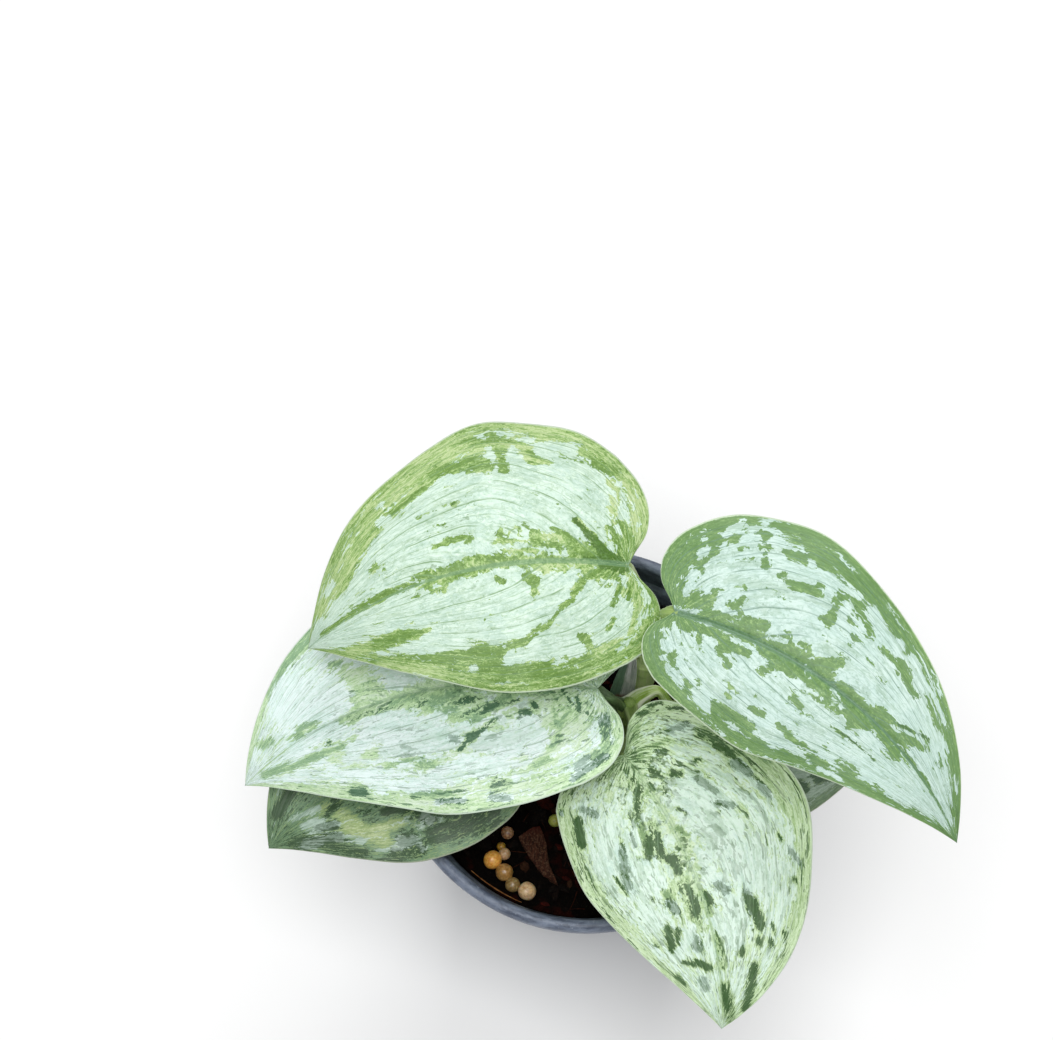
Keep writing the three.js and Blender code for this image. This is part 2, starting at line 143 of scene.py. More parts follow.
class Graph:
    # each call adds one node and gives its output
    def __init__(self, tree):
        self.tree = tree

    def feed(self, socket, value):
        if isinstance(value, bpy.types.NodeSocket):
            self.tree.links.new(value, socket)
        elif value is not None:
            socket.default_value = value

    def add(self, kind, inputs=None, **settings):
        made = self.tree.nodes.new("ShaderNode" + kind)
        for key, value in settings.items():
            setattr(made, key, value)
        for key, value in (inputs or {}).items():
            self.feed(made.inputs[key], value)
        return made

    def math(self, operation, *values):
        made = self.tree.nodes.new("ShaderNodeMath")
        made.operation = operation
        for socket, value in zip(made.inputs, values):
            self.feed(socket, value)
        return made.outputs[0]

    def step(self, value, low, high, start=0.0, end=1.0):
        made = self.add("MapRange", {"Value": value, "From Min": low, "From Max": high,
                                     "To Min": start, "To Max": end}, interpolation_type="SMOOTHSTEP")
        return made.outputs[0]

    def times(self, a, b):
        return self.math("MULTIPLY", a, b)

    def sum(self, a, b):
        return self.math("ADD", a, b)

    def away(self, value, centre):
        # how far a value is from the centre, on either side
        return self.math("ABSOLUTE", self.math("SUBTRACT", value, centre))

    def mix(self, factor, a, b, blend="MIX"):
        made = self.tree.nodes.new("ShaderNodeMix")
        made.data_type = "RGBA"
        made.blend_type = blend
        self.feed(made.inputs[0], factor)
        self.feed(made.inputs[6], a)
        self.feed(made.inputs[7], b)
        return made.outputs[2]

    def blend(self, mask, low, high, codes):
        # from the first colour where the mask is low to the second where it is high
        return self.mix(self.step(mask, low, high), paint(codes[0]), paint(codes[1]))

    def dab(self, tone, code, mask, low, high, amount=1.0):
        # lays some of a colour over the tone where the mask is high
        return self.mix(self.step(mask, low, high, 0, amount), tone, paint(code))

    def vector(self, x, y, z):
        return self.add("CombineXYZ", {"X": x, "Y": y, "Z": z}).outputs[0]

    def split(self, vector):
        return self.add("SeparateXYZ", {"Vector": vector}).outputs

    def scaled(self, vector, x, y, z):
        made = self.add("VectorMath", {0: vector}, operation="MULTIPLY")
        made.inputs[1].default_value = (x, y, z)
        return made.outputs[0]

    def plus(self, a, b):
        return self.add("VectorMath", {0: a, 1: b}, operation="ADD").outputs[0]

    def noise(self, vector, scale=1.0, detail=2.0, roughness=0.5, output="Fac"):
        return self.add("TexNoise", {"Vector": vector, "Scale": scale, "Detail": detail,
                                     "Roughness": roughness}).outputs[output]

    def cells(self, vector, scale=1.0, **settings):
        return self.add("TexVoronoi", {"Vector": vector, "Scale": scale}, **settings).outputs

    def place(self, name):
        # an attribute of the mesh, as a vector
        return self.add("Attribute", attribute_name=name).outputs["Vector"]

    def objectPoint(self):
        # where a point is on the object, in millimetres
        point = self.add("TexCoord").outputs["Object"]
        return self.scaled(point, 1000, 1000, 1000)

    def use(self, group, inputs):
        made = self.tree.nodes.new("ShaderNodeGroup")
        made.node_tree = group
        for key, value in inputs.items():
            self.feed(made.inputs[key], value)
        return made.outputs


def newGroup(name, inputs, outputs):
    tree = bpy.data.node_groups.new(name, "ShaderNodeTree")
    kinds = {"number": "NodeSocketFloat", "vector": "NodeSocketVector", "colour": "NodeSocketColor"}
    for label, kind in inputs.items():
        tree.interface.new_socket(name=label, in_out="INPUT", socket_type=kinds[kind])
    for label, kind in outputs.items():
        tree.interface.new_socket(name=label, in_out="OUTPUT", socket_type=kinds[kind])
    given = tree.nodes.new("NodeGroupInput").outputs
    return Graph(tree), given, tree.nodes.new("NodeGroupOutput").inputs


def newMaterial(name, **sockets):
    material = bpy.data.materials.new(name)
    material.use_nodes = True
    shader = material.node_tree.nodes["Principled BSDF"]
    for key, value in sockets.items():
        shader.inputs[key.replace("_", " ")].default_value = value
    return material, Graph(material.node_tree), shader


def addBump(graph, shader, height, distance, strength=1.0):
    made = graph.add("Bump", {"Height": height, "Distance": distance, "Strength": strength})
    graph.tree.links.new(made.outputs[0], shader.inputs["Normal"])


# Camera, light and floor

view = {
    "location": (-0.0135, -0.1172, 0.4986),
    "tilt": 22,
    "lens": 65,
    "sensor": 36,
}
bpy.ops.object.camera_add(location=view["location"], rotation=(math.radians(view["tilt"]), 0, 0))
camera = bpy.context.object
camera.data.lens = view["lens"]
camera.data.sensor_width = view["sensor"]
camera.data.clip_start = 0.01
bpy.context.scene.camera = camera

studio = {
    "sky": 0.42,
    "lamps": [  # place, size, power
        ((0.10, 0.85, 0.95), 0.55, 5.5),
        ((-0.06, -0.16, 1.20), 0.60, 8.0),
    ],
    "aim": (0, 0, 0.08),
    "floorSize": 12,
    "floor": ("#f7f7f7", "#f3f3f3"),
}


def addStudio():
    world = bpy.data.worlds.new("studio")
    world.use_nodes = True
    world.node_tree.nodes["Background"].inputs["Color"].default_value = (1, 1, 1, 1)
    world.node_tree.nodes["Background"].inputs["Strength"].default_value = studio["sky"]
    bpy.context.scene.world = world
    bpy.context.scene.view_settings.view_transform = "Standard"
    for number, (place, size, power) in enumerate(studio["lamps"]):
        turn = (Vector(studio["aim"]) - Vector(place)).to_track_quat("-Z", "Y").to_euler()
        bpy.ops.object.light_add(type="AREA", location=place, rotation=turn)
        lamp = bpy.context.object
        lamp.name = f"lamp_{number}"
        lamp.data.size = size
        lamp.data.energy = power
    deselectAll()
    bpy.ops.mesh.primitive_plane_add(size=studio["floorSize"])
    floor = bpy.context.object
    floor.name = "studio_floor"
    material, graph, shader = newMaterial("pale floor", Roughness=0.8, Specular_IOR_Level=0.2)
    tone = graph.noise(graph.objectPoint(), 0.004, 2)
    first, second = (paint(code) for code in studio["floor"])
    graph.feed(shader.inputs["Base Color"], graph.mix(tone, first, second))
    floor.data.materials.append(material)


addStudio()
print("studio: camera, two lamps and the floor")


# Pot: turned from its profile, with drain holes cut through the floor

pot = {
    "height": 80, "rim": 45, "lipWidth": 2.8, "lipHeight": 2.6, "band": 43.9, "shoulder": 41.6, "base": 31,
    "wall": 1.3, "floor": 1.6, "ledge": 71.5, "bandHeight": 10, "sides": 144, "hub": 20, "footRing": 28,
    "footRise": 0.6, "drainHoles": {"count": 8, "radius": 3, "circle": 21, "sides": 24},
    "lip": {"skin": ("#414a5b", "#7a8496"), "cloud": "#5d6679", "dust": "#a6aeb8", "stain": "#363c48"},
    "side": {"skin": ("#525c72", "#626c82"), "dust": "#8a92a4"},
    # painted shade: the inside skin is darker and greyer than the outside, and the band colour is the
    # near-black shadow low on the inner wall
    "inside": {"skin": ("#434c57", "#626d7b"), "shadowBand": "#12100f"},
}
innerSlope = (pot["shoulder"] - pot["base"]) / (pot["height"] - pot["bandHeight"])


def innerRadius(z):
    return pot["base"] - pot["wall"] + innerSlope * z


def arc(centre, radius, start, end, steps):
    # points of an arc of a profile, angles in degrees from straight out
    angles = [math.radians(start + (end - start) * i / steps) for i in range(steps + 1)]
    return [(centre[0] + radius * math.cos(a), centre[1] + radius * math.sin(a)) for a in angles]


def potProfile():
    # from the middle of the floor's underside up the outside, over the lip and down the inside
    lipTop, ledge, floor = pot["height"], pot["ledge"], pot["floor"]
    bandFoot = lipTop - pot["bandHeight"]
    lipFoot = lipTop - pot["lipHeight"]
    lipMiddle = pot["rim"] - pot["lipWidth"] / 2
    lipInside = pot["rim"] - pot["lipWidth"]
    half = pot["lipWidth"] / 2
    rise = pot["footRise"]
    profile = [(pot["hub"], rise), (pot["footRing"], rise), (pot["footRing"] + rise, 0)]
    profile += arc((pot["base"] - 1, 1), 1, -90, -8, 5)
    profile += [(pot["shoulder"] - 0.06, bandFoot - 0.4), (pot["shoulder"] + 0.15, bandFoot)]
    profile += arc((pot["band"] - 0.5, bandFoot + 0.9), 0.5, -80, 0, 4)
    profile += [(pot["band"] + 0.15, lipFoot - 0.3), (pot["band"] + 0.45, lipFoot)]
    profile += arc((lipMiddle, lipTop - half + 0.05), half, -25, 180, 14)
    profile += [(lipInside - 0.15, lipTop - 4), (lipInside - 0.3, ledge + 0.9)]
    profile += [(innerRadius(ledge) + 0.5, ledge + 0.1), (innerRadius(ledge), ledge - 0.4)]
    profile += [(innerRadius(lipTop / 2), lipTop / 2), (innerRadius(floor) - 0.6, floor + 0.7)]
    profile += [(innerRadius(floor) - 1.8, floor), (pot["hub"], floor)]
    return profile


def turned(profile, sides):
    # the first ring is a circle, each next one is extruded from it and scaled, and both ends are filled
    deselectAll()
    bpy.ops.mesh.primitive_circle_add(vertices=sides, radius=profile[0][0] * mm,
                                      location=(0, 0, profile[0][1] * mm), fill_type="NGON")
    piece = bpy.context.object
    editAll(piece)
    for (r0, z0), (r1, z1) in zip(profile, profile[1:]):
        bpy.ops.mesh.extrude_region_move(TRANSFORM_OT_translate={"value": (0, 0, (z1 - z0) * mm)})
        bpy.ops.transform.resize(value=(r1 / r0, r1 / r0, 1), center_override=(0, 0, z1 * mm))
    faceOut(piece)
    return piece


def potMaterial():
    material, graph, shader = newMaterial("slate blue plastic", Roughness=0.5, Specular_IOR_Level=0.45)
    lip, side = pot["lip"], pot["side"]
    point = graph.objectPoint()
    x, y, z = graph.split(point)[:3]
    around = graph.math("ARCTAN2", y, x)
    radius = graph.math("SQRT", graph.sum(graph.times(x, x), graph.times(y, y)))
    # scuffs run round the pot, so the pattern is drawn out along the angle
    ring = graph.vector(graph.times(around, 14), radius, graph.times(z, 1.3))
    cloud = graph.noise(point, 0.09, 3)
    streak = graph.noise(ring, 0.55, 5, 0.62)
    dust = graph.noise(point, 1.6, 4, 0.65)
    stain = graph.noise(graph.scaled(ring, 2.2, 1, 1), 0.3, 5, 0.7)
    worn = graph.blend(streak, 0.34, 0.64, lip["skin"])
    worn = graph.dab(worn, lip["cloud"], cloud, 0.35, 0.7, 0.4)
    worn = graph.dab(worn, lip["dust"], dust, 0.56, 0.72, 0.5)
    worn = graph.dab(worn, lip["stain"], stain, 0.54, 0.66, 0.45)
    # the lip is worn, the side under it plainer
    plain = graph.blend(cloud, 0.35, 0.68, side["skin"])
    plain = graph.dab(plain, side["dust"], dust, 0.58, 0.74, 0.3)
    wear = graph.step(z, pot["height"] - 5, pot["height"] - 1.5, 0.12, 1)
    graph.feed(shader.inputs["Base Color"], graph.mix(wear, plain, worn))
    graph.feed(shader.inputs["Roughness"], graph.step(dust, 0.3, 0.75, 0.38, 0.62))
    height = graph.sum(graph.times(streak, 0.7), graph.times(dust, 0.3))
    addBump(graph, shader, height, 0.0002, 0.5)
    return material


def insideMaterial():
    # painted shade: the pot's plastic, darker and greyer on the inside
    material, graph, shader = newMaterial("pot inside", Roughness=0.45)
    point = graph.objectPoint()
    stain = graph.noise(point, 0.35, 5, 0.6)
    # painted shade: the wall is near black from below the mix up to a few millimetres above it, with a ragged
    # edge from the stain noise
    unshaded = graph.step(graph.sum(graph.split(point)[2], graph.times(stain, -9)), 61, 65)
    wall = graph.blend(stain, 0.4, 0.7, pot["inside"]["skin"])
    graph.feed(shader.inputs["Base Color"], graph.mix(unshaded, paint(pot["inside"]["shadowBand"]), wall))
    graph.feed(shader.inputs["Roughness"], graph.step(stain, 0.3, 0.7, 0.3, 0.6))
    addBump(graph, shader, stain, 0.0003, 0.4)
    return material


def makePot():
    piece = turned(potProfile(), pot["sides"])
    holes = pot["drainHoles"]
    cutters = []
    for i in range(holes["count"]):
        angle = 2 * math.pi * (i + 0.5) / holes["count"]
        place = (holes["circle"] * math.cos(angle) * mm, holes["circle"] * math.sin(angle) * mm, 0)
        deselectAll()
        bpy.ops.mesh.primitive_cylinder_add(vertices=holes["sides"], radius=holes["radius"] * mm,
                                            depth=5 * pot["floor"] * mm, location=place)
        cutters.append(bpy.context.object)
    cutter = joinAll(cutters)
    cut = piece.modifiers.new("drain", "BOOLEAN")
    cut.operation = "DIFFERENCE"
    cut.object = cutter
    cut.solver = "EXACT"
    applyModifiers(piece)
    bpy.data.objects.remove(cutter)
    piece.data.materials.append(potMaterial())
    piece.data.materials.append(insideMaterial())
    # faces that look inwards below the lip take the inside material, with its painted shade, and so does the
    # floor
    lipFoot, nearFloor = (pot["height"] - 2.2) * mm, 2 * pot["floor"] * mm
    for face in piece.data.polygons:
        out = Vector((face.center.x, face.center.y, 0))
        facesIn = out.length > 0 and face.normal.dot(out.normalized()) < -0.3
        onFloor = face.normal.z > 0.9 and face.center.z < nearFloor
        if (facesIn and face.center.z < lipFoot) or onFloor:
            face.material_index = 1
    smoothShade(piece, 40)
    return settle(piece, "nursery_pot", "pot_plastic", "pot")


makePot()
print("pot: turned, drained")


# Potting mix: lumpy surface, bark crumbs and coir fibres

soil = {
    "level": 66, "foot": 2.2, "gap": 0.15, "lump": 1.3, "rings": 46, "sides": 150,
    "patch": (-15, -27), "patchRadius": 15, "blend": 6,  # smooth round the prills and the bark chip
    "colours": {"grit": ("#040302", "#120a06"), "patch": "#2c0a05"},
    "crumbs": 620, "crumbSizes": [0.7, 0.8, 0.9, 1.1, 1.4, 2.1],
    "crumbKinds": [  # name, dark and light colour, share of the crumbs
        ("dark crumbs", "#050302", "#170c07", 76),
        ("red bark crumbs", "#220604", "#4a120a", 20),
        ("tan crumbs", "#24120a", "#4a2f1c", 4),
    ],
    "fibres": 70, "fibreReach": 34, "fibreLength": (4, 10), "fibreRadius": 0.11,
}


def soilHeight(x, y):
    lumps = (math.sin(0.33 * x + 1.1) * math.cos(0.29 * y - 0.4) + 0.6 * math.sin(0.61 * x - 0.47 * y)
             + 0.4 * math.cos(0.85 * y + 0.5 * x + 2))
    away = math.hypot(x - soil["patch"][0], y - soil["patch"][1]) - soil["patchRadius"]
    t = min(1, max(0, away / soil["blend"]))
    return soil["level"] + 0.5 * soil["lump"] * lumps * t * t * (3 - 2 * t)


def soilMaterial():
    material, graph, shader = newMaterial("potting mix", Roughness=0.9, Specular_IOR_Level=0.07)
    point = graph.objectPoint()
    grit = graph.noise(point, 1.1, 6, 0.7)
    patch = graph.noise(point, 0.22, 3)
    crumb = graph.cells(point, 0.8)
    tone = graph.blend(grit, 0.4, 0.72, soil["colours"]["grit"])
    tone = graph.dab(tone, soil["colours"]["patch"], patch, 0.52, 0.7, 0.7)
    graph.feed(shader.inputs["Base Color"], tone)
    height = graph.sum(grit, graph.times(crumb["Distance"], -0.5))
    addBump(graph, shader, height, 0.0012, 0.9)
    return material


def crumbMaterial(name, dark, light):
    material, graph, shader = newMaterial(name, Roughness=0.85, Specular_IOR_Level=0.1)
    point = graph.objectPoint()
    grain = graph.noise(graph.scaled(point, 1, 1, 3), 0.9, 5, 0.7)
    lot = graph.noise(point, 0.3, 1)
    tone = graph.dab(graph.blend(grain, 0.35, 0.7, (dark, light)), dark, lot, 0.4, 0.6, 0.6)
    graph.feed(shader.inputs["Base Color"], tone)
    addBump(graph, shader, grain, 0.0004, 0.8)
    return material


def makeSoil():
    level, foot, rings = soil["level"], soil["foot"], soil["rings"]
    outer = innerRadius(level) - soil["gap"]
    profile = [(innerRadius(foot) - 0.4, foot), (outer - 0.3, level - 1.5), (outer, level - 0.4)]
    profile += [(outer * (1 - i / rings) + 0.4, level) for i in range(1, rings)]
    piece = turned(profile, soil["sides"])
    points = getPoints(piece)
    world = np.array(piece.matrix_world)
    points = points + world[:3, 3]
    piece.location = (0, 0, 0)
    top = points[:, 2] > (level - 0.1) * mm
    rough = wander(points[top] / mm, 0.55, 3) * 0.55 + wander(points[top] / mm, 1.4, 4) * 0.3
    heights = np.array([soilHeight(x / mm, y / mm) for x, y, z in points[top]])
    points[top, 2] = (heights + rough - 0.1) * mm
    setPoints(piece, points)
    piece.data.materials.append(soilMaterial())
    smoothShade(piece)
    return settle(piece, "potting_mix_surface", "potting_mix", "potting_mix")


def clearOf(x, y, reach, spots):
    return all(math.hypot(x - sx, y - sy) > sr + reach for sx, sy, sr in spots)


# places kept free of crumbs, each with its radius: the stems, the prills and the bark chip
stemFeet = [(14, 12.5, 2.6), (9.2, 5.6, 3.0)]
frontSpots = [(-21.2, -26.8, 2.2), (-18.5, -29.6, 2.1), (-16.6, -32.4, 1.8), (-13.4, -33.9, 2.2),
              (-18.5, -25.3, 1.5), (-19.3, -23.5, 1.1), (-17.9, -20.4, 1.6), (-7, -17.6, 1.6),
              (-12, -22, 3.5), (-9.5, -27, 3.0)]


def makeCrumbs():
    # bark crumbs: one rough lump of twenty faces, copied, stretched and turned
    rng = random.Random(11)
    materials = [crumbMaterial(name, dark, light) for name, dark, light, share in soil["crumbKinds"]]
    shares = [share for name, dark, light, share in soil["crumbKinds"]]
    made = []
    while len(made) < soil["crumbs"]:
        size = rng.choice(soil["crumbSizes"])
        r = (innerRadius(soil["level"]) - 1.2 - size) * math.sqrt(rng.random())
        angle = 2 * math.pi * rng.random()
        x, y = r * math.cos(angle), r * math.sin(angle)
        turn = (rng.uniform(-0.5, 0.5), rng.uniform(-0.5, 0.5), rng.uniform(0, 6.3))
        stretch = (size * rng.uniform(0.9, 1.7), size * rng.uniform(0.6, 1.0), size * rng.uniform(0.35, 0.7))
        kind = rng.choices(range(len(shares)), shares)[0]
        if not clearOf(x, y, size * 0.8, stemFeet + frontSpots):
            continue
        if made:
            piece = made[0].copy()
            piece.data = made[0].data.copy()
            bpy.context.scene.collection.objects.link(piece)
        else:
            deselectAll()
            bpy.ops.mesh.primitive_ico_sphere_add(subdivisions=1, radius=1)
            piece = bpy.context.object
            for material in materials:
                piece.data.materials.append(material)
        piece.location = (x * mm, y * mm, (soilHeight(x, y) + 0.25 * stretch[2]) * mm)
        piece.rotation_euler = turn
        piece.scale = [s * mm for s in stretch]
        for face in piece.data.polygons:
            face.material_index = kind
        made.append(piece)
    piece = joinAll(made)
    bpy.ops.object.transform_apply(location=True, rotation=True, scale=True)
    points = getPoints(piece)
    shake = np.stack([wander(points / mm, 0.9, seed) for seed in (5, 6, 7)], 1)
    setPoints(piece, points + shake * 0.35 * mm)
    return settle(piece, "potting_mix_crumbs", "potting_mix", "potting_mix")


makeSoil()
makeCrumbs()
print("potting mix: surface and crumbs")


# Tubes: a tower of rings extruded one from the next, then laid along a path

def tower(sides, rings):
    deselectAll()
    bpy.ops.mesh.primitive_circle_add(vertices=sides, radius=1, fill_type="NGON")
    piece = bpy.context.object
    editAll(piece)
    for ring in range(rings - 1):
        bpy.ops.mesh.extrude_region_move(TRANSFORM_OT_translate={"value": (0, 0, 1)})
    faceOut(piece)
    return piece


def pathThrough(points, count):
    # smooth path through the points, evenly spaced along its length
    points = np.array(points, float)
    gaps = np.sqrt(np.linalg.norm(np.diff(points, axis=0), axis=1))
    knots = np.concatenate([[0], np.cumsum(gaps)])
    slopes = np.gradient(points, knots, axis=0, edge_order=1)
    fine = np.linspace(0, knots[-1], 40 * len(points))
    i = np.clip(np.searchsorted(knots, fine, side="right") - 1, 0, len(points) - 2)
    h = (knots[i + 1] - knots[i])[:, None]
    t = (fine[:, None] - knots[i][:, None]) / h
    path = ((1 + 2 * t) * (1 - t) ** 2 * points[i] + t * (1 - t) ** 2 * h * slopes[i]
            + t * t * (3 - 2 * t) * points[i + 1] + t * t * (t - 1) * h * slopes[i + 1])
    run = np.concatenate([[0], np.cumsum(np.linalg.norm(np.diff(path, axis=0), axis=1))])
    even = np.linspace(0, run[-1], count)
    return np.stack([np.interp(even, run, path[:, axis]) for axis in range(3)], 1)


def layAlong(piece, path, radiusAt, upwards=(0, 0, 1)):
    # radiusAt(u, angle, centre) gives the skin at each share of the way and each angle, 90 degrees on top
    path = np.array(path)
    count = len(path)
    along = np.gradient(path, axis=0)
    along /= np.linalg.norm(along, axis=1)[:, None]
    side = np.cross(np.array(upwards, float), along)
    side /= np.linalg.norm(side, axis=1)[:, None]
    top = np.cross(along, side)
    points = getPoints(piece)
    ring = np.clip(np.rint(points[:, 2]).astype(int), 0, count - 1)
    angle = np.arctan2(points[:, 1], points[:, 0])
    radius = np.array([radiusAt(k / (count - 1), a, path[k]) for k, a in zip(ring, angle)])
    laid = (path[ring] - side[ring] * (radius * np.cos(angle))[:, None]
            + top[ring] * (radius * np.sin(angle))[:, None])
    setPoints(piece, laid * mm)
    faceOut(piece)
    ways = np.stack([ring / (count - 1), angle / math.pi, 0 * angle], 1)
    addAttribute(piece, "way", ways)
    return piece


def makeFibres():
    # coir fibres lie loose on the mix
    rng = random.Random(23)
    wall = innerRadius(soil["level"]) - 1.5
    made = []
    for number in range(soil["fibres"]):
        r = soil["fibreReach"] * math.sqrt(rng.random())
        angle = 2 * math.pi * rng.random()
        x, y = r * math.cos(angle), r * math.sin(angle)
        heading = rng.uniform(0, 6.3)
        hop = rng.uniform(*soil["fibreLength"]) / 7
        bend = rng.uniform(-0.12, 0.12)
        path = []
        for k in range(8):
            path.append((x, y, soilHeight(x, y) + 0.5 + 0.35 * math.sin(k * 0.9 + number)))
            heading += bend
            # a fibre that would meet the wall turns back
            if math.hypot(x + hop * math.cos(heading), y + hop * math.sin(heading)) >= wall:
                heading += 2.2
            x, y = x + hop * math.cos(heading), y + hop * math.sin(heading)
        made.append(layAlong(tower(4, 8), path, lambda u, a, c: soil["fibreRadius"]))
    piece = joinAll(made)
    piece.data.materials.append(crumbMaterial("coir", "#200c06", "#45200f"))
    return settle(piece, "potting_mix_fibres", "potting_mix", "potting_mix")


def makeWallFibre():
    # one pale fibre follows the inner wall at the front left
    wall = innerRadius(soil["level"] + 1.2) - 0.9
    path = [(wall * math.cos(math.radians(a)), wall * math.sin(math.radians(a)),
             soil["level"] + 0.6 + 0.5 * math.sin((a + 140) / 9)) for a in range(-132, -110, 2)]
    piece = layAlong(tower(6, 30), pathThrough(path, 30), lambda u, a, c: 0.17 - 0.09 * abs(2 * u - 1))
    piece.data.materials.append(crumbMaterial("pale fibre", "#6e4424", "#b98550"))
    smoothShade(piece)
    return settle(piece, "pale_fibre", "potting_mix", "potting_mix")


makeFibres()
makeWallFibre()
print("potting mix: fibres")


# Bark chip and fertiliser prills at the front

barkChip = {
    "thickness": 1.9, "bottom": 66.2, "roughness": (0.3, 0.3, 0.7),
    "colours": {"grain": ("#240e07", "#482719"), "speck": "#5a4232", "red": "#3d0d08"},
    "outline": [(-15.3, -21.3), (-12.9, -19.6), (-10.6, -18.9), (-9.6, -20.9), (-9, -23), (-8.5, -25.6),
                (-8.3, -27.8), (-7.2, -30.4), (-6.4, -32.4), (-8.1, -31.4), (-9.6, -30.2), (-11.2, -28.2),
                (-12.6, -26.4), (-14.2, -23.8)],
}


def barkMaterial():
    material, graph, shader = newMaterial("bark", Roughness=0.85, Specular_IOR_Level=0.15)
    colours = barkChip["colours"]
    point = graph.objectPoint()
    grain = graph.noise(graph.scaled(point, 2.6, 0.7, 2.0), 0.8, 6, 0.7)
    speck = graph.noise(point, 2.4, 3, 0.6)
    tone = graph.blend(grain, 0.35, 0.68, colours["grain"])
    tone = graph.dab(tone, colours["speck"], speck, 0.5, 0.62, 0.8)
    # the blunt end at the back is redder
    tone = graph.dab(tone, colours["red"], graph.split(point)[1], -21.5, -18.5, 0.85)
    graph.feed(shader.inputs["Base Color"], tone)
    addBump(graph, shader, graph.sum(grain, graph.times(speck, 0.4)), 0.0006, 0.9)
    return material


def makeBark():
    outline = barkChip["outline"]
    deselectAll()
    bpy.ops.mesh.primitive_circle_add(vertices=len(outline), radius=1, fill_type="NGON")
    piece = bpy.context.object
    setPoints(piece, [(x * mm, y * mm, barkChip["bottom"] * mm) for x, y in reversed(outline)])
    editAll(piece)
    bpy.ops.mesh.extrude_region_move(TRANSFORM_OT_translate={"value": (0, 0, barkChip["thickness"] * mm)})
    bpy.ops.mesh.inset(thickness=0.45 * mm, depth=0)
    bpy.ops.mesh.inset(thickness=0.8 * mm, depth=0)
    bpy.ops.mesh.select_all(action="SELECT")
    bpy.ops.mesh.normals_make_consistent(inside=False)
    bpy.ops.mesh.quads_convert_to_tris()
    bpy.ops.mesh.subdivide(number_cuts=3)
    bpy.ops.object.mode_set(mode="OBJECT")
    points = getPoints(piece)
    rough = np.stack([wander(points / mm * (1, 0.45, 1), 0.8, seed) for seed in (1, 2, 8)], 1)
    setPoints(piece, points + rough * np.array(barkChip["roughness"]) * mm)
    piece.data.materials.append(barkMaterial())
    smoothShade(piece, 50)
    return settle(piece, "bark_chip_grained", "bark", "bark_chip")


prills = [  # x, y, radius, body colour, bright colour
    (-21.2, -26.8, 2.15, "#d08a30", "#efba60"),
    (-18.5, -29.6, 2.05, "#8f6830", "#b98f55"),
    (-16.6, -32.4, 1.75, "#7a6238", "#9d8557"),
    (-13.4, -33.9, 2.1, "#b8946a", "#dcc096"),
    (-18.5, -25.3, 1.4, "#a8845c", "#c9a882"),
    (-19.3, -23.5, 1.05, "#7a5a18", "#a5802c"),
]
loosePrills = [
    (-17.9, -20.4, 1.5, "#7e573a", "#b08a6a"),
    (-7, -17.6, 1.5, "#8e9440", "#b9be62"),
]


def prillMaterial():
    material, graph, shader = newMaterial("resin coat", Roughness=0.28, Subsurface_Weight=0.55,
                                          Subsurface_Scale=0.0008, Coat_Weight=0.35, Coat_Roughness=0.2)
    shader.inputs["Subsurface Radius"].default_value = (1.0, 0.5, 0.22)
    point = graph.objectPoint()
    pits = graph.noise(point, 1.8, 4, 0.6)
    body = graph.add("Attribute", attribute_name="body").outputs["Color"]
    bright = graph.add("Attribute", attribute_name="bright").outputs["Color"]
    graph.feed(shader.inputs["Base Color"], graph.mix(graph.step(pits, 0.34, 0.66), body, bright))
    addBump(graph, shader, pits, 0.0002, 0.5)
    return material


resin = prillMaterial()


def makePrills(name, slot, node, group):
    # they lie as high as the bark chip
    made = []
    for number, (x, y, radius, body, bright) in enumerate(group):
        deselectAll()
        centre = (x * mm, y * mm, (barkChip["bottom"] + radius) * mm)
        bpy.ops.mesh.primitive_ico_sphere_add(subdivisions=5, radius=radius * mm, location=centre)
        piece = bpy.context.object
        bpy.ops.object.transform_apply(location=True)
        points = getPoints(piece)
        middle = np.array(centre)
        dents = wander(points / mm, 0.55, number + 3) * 0.05 + wander(points / mm, 1.5, number) * 0.012
        setPoints(piece, middle + (points - middle) * (0.985 + dents)[:, None])
        for key, code in (("body", body), ("bright", bright)):
            layer = piece.data.color_attributes.new(key, "FLOAT_COLOR", "POINT")
            layer.data.foreach_set("color", np.tile(paint(code), len(points)))
        made.append(piece)
    piece = joinAll(made)
    piece.data.materials.append(resin)
    smoothShade(piece)
    return settle(piece, name, slot, node)


makeBark()
makePrills("prills_amber", "prill_amber", "fertiliser_prills", prills)
makePrills("prill_tan", "prill_tan", "fertiliser_prill_tan", loosePrills[:1])
makePrills("prill_green", "prill_green", "fertiliser_prill_green", loosePrills[1:])
print("bark chip and prills")


# Leaves. Angles in degrees: heading from +X, pitch above level at the petiole, sweep and droop are how far
# the midrib turns sideways and down towards the tip. Left and right are half widths. Each half is lifted by
# the fold and curls down by the cup; lobes, belly, peak and wave vary its outline, the left half first.
# A marking is a stroke on the flat blade from (s, w) to (s, w) with its radius: s runs along the midrib from
# the sinus, w across it, positive on the left. The kinds: s silver, g green, y lime, o olive, d dark green,
# c cream, m and n green mottled with dark, h half silver over dark. A later stroke covers an earlier one.

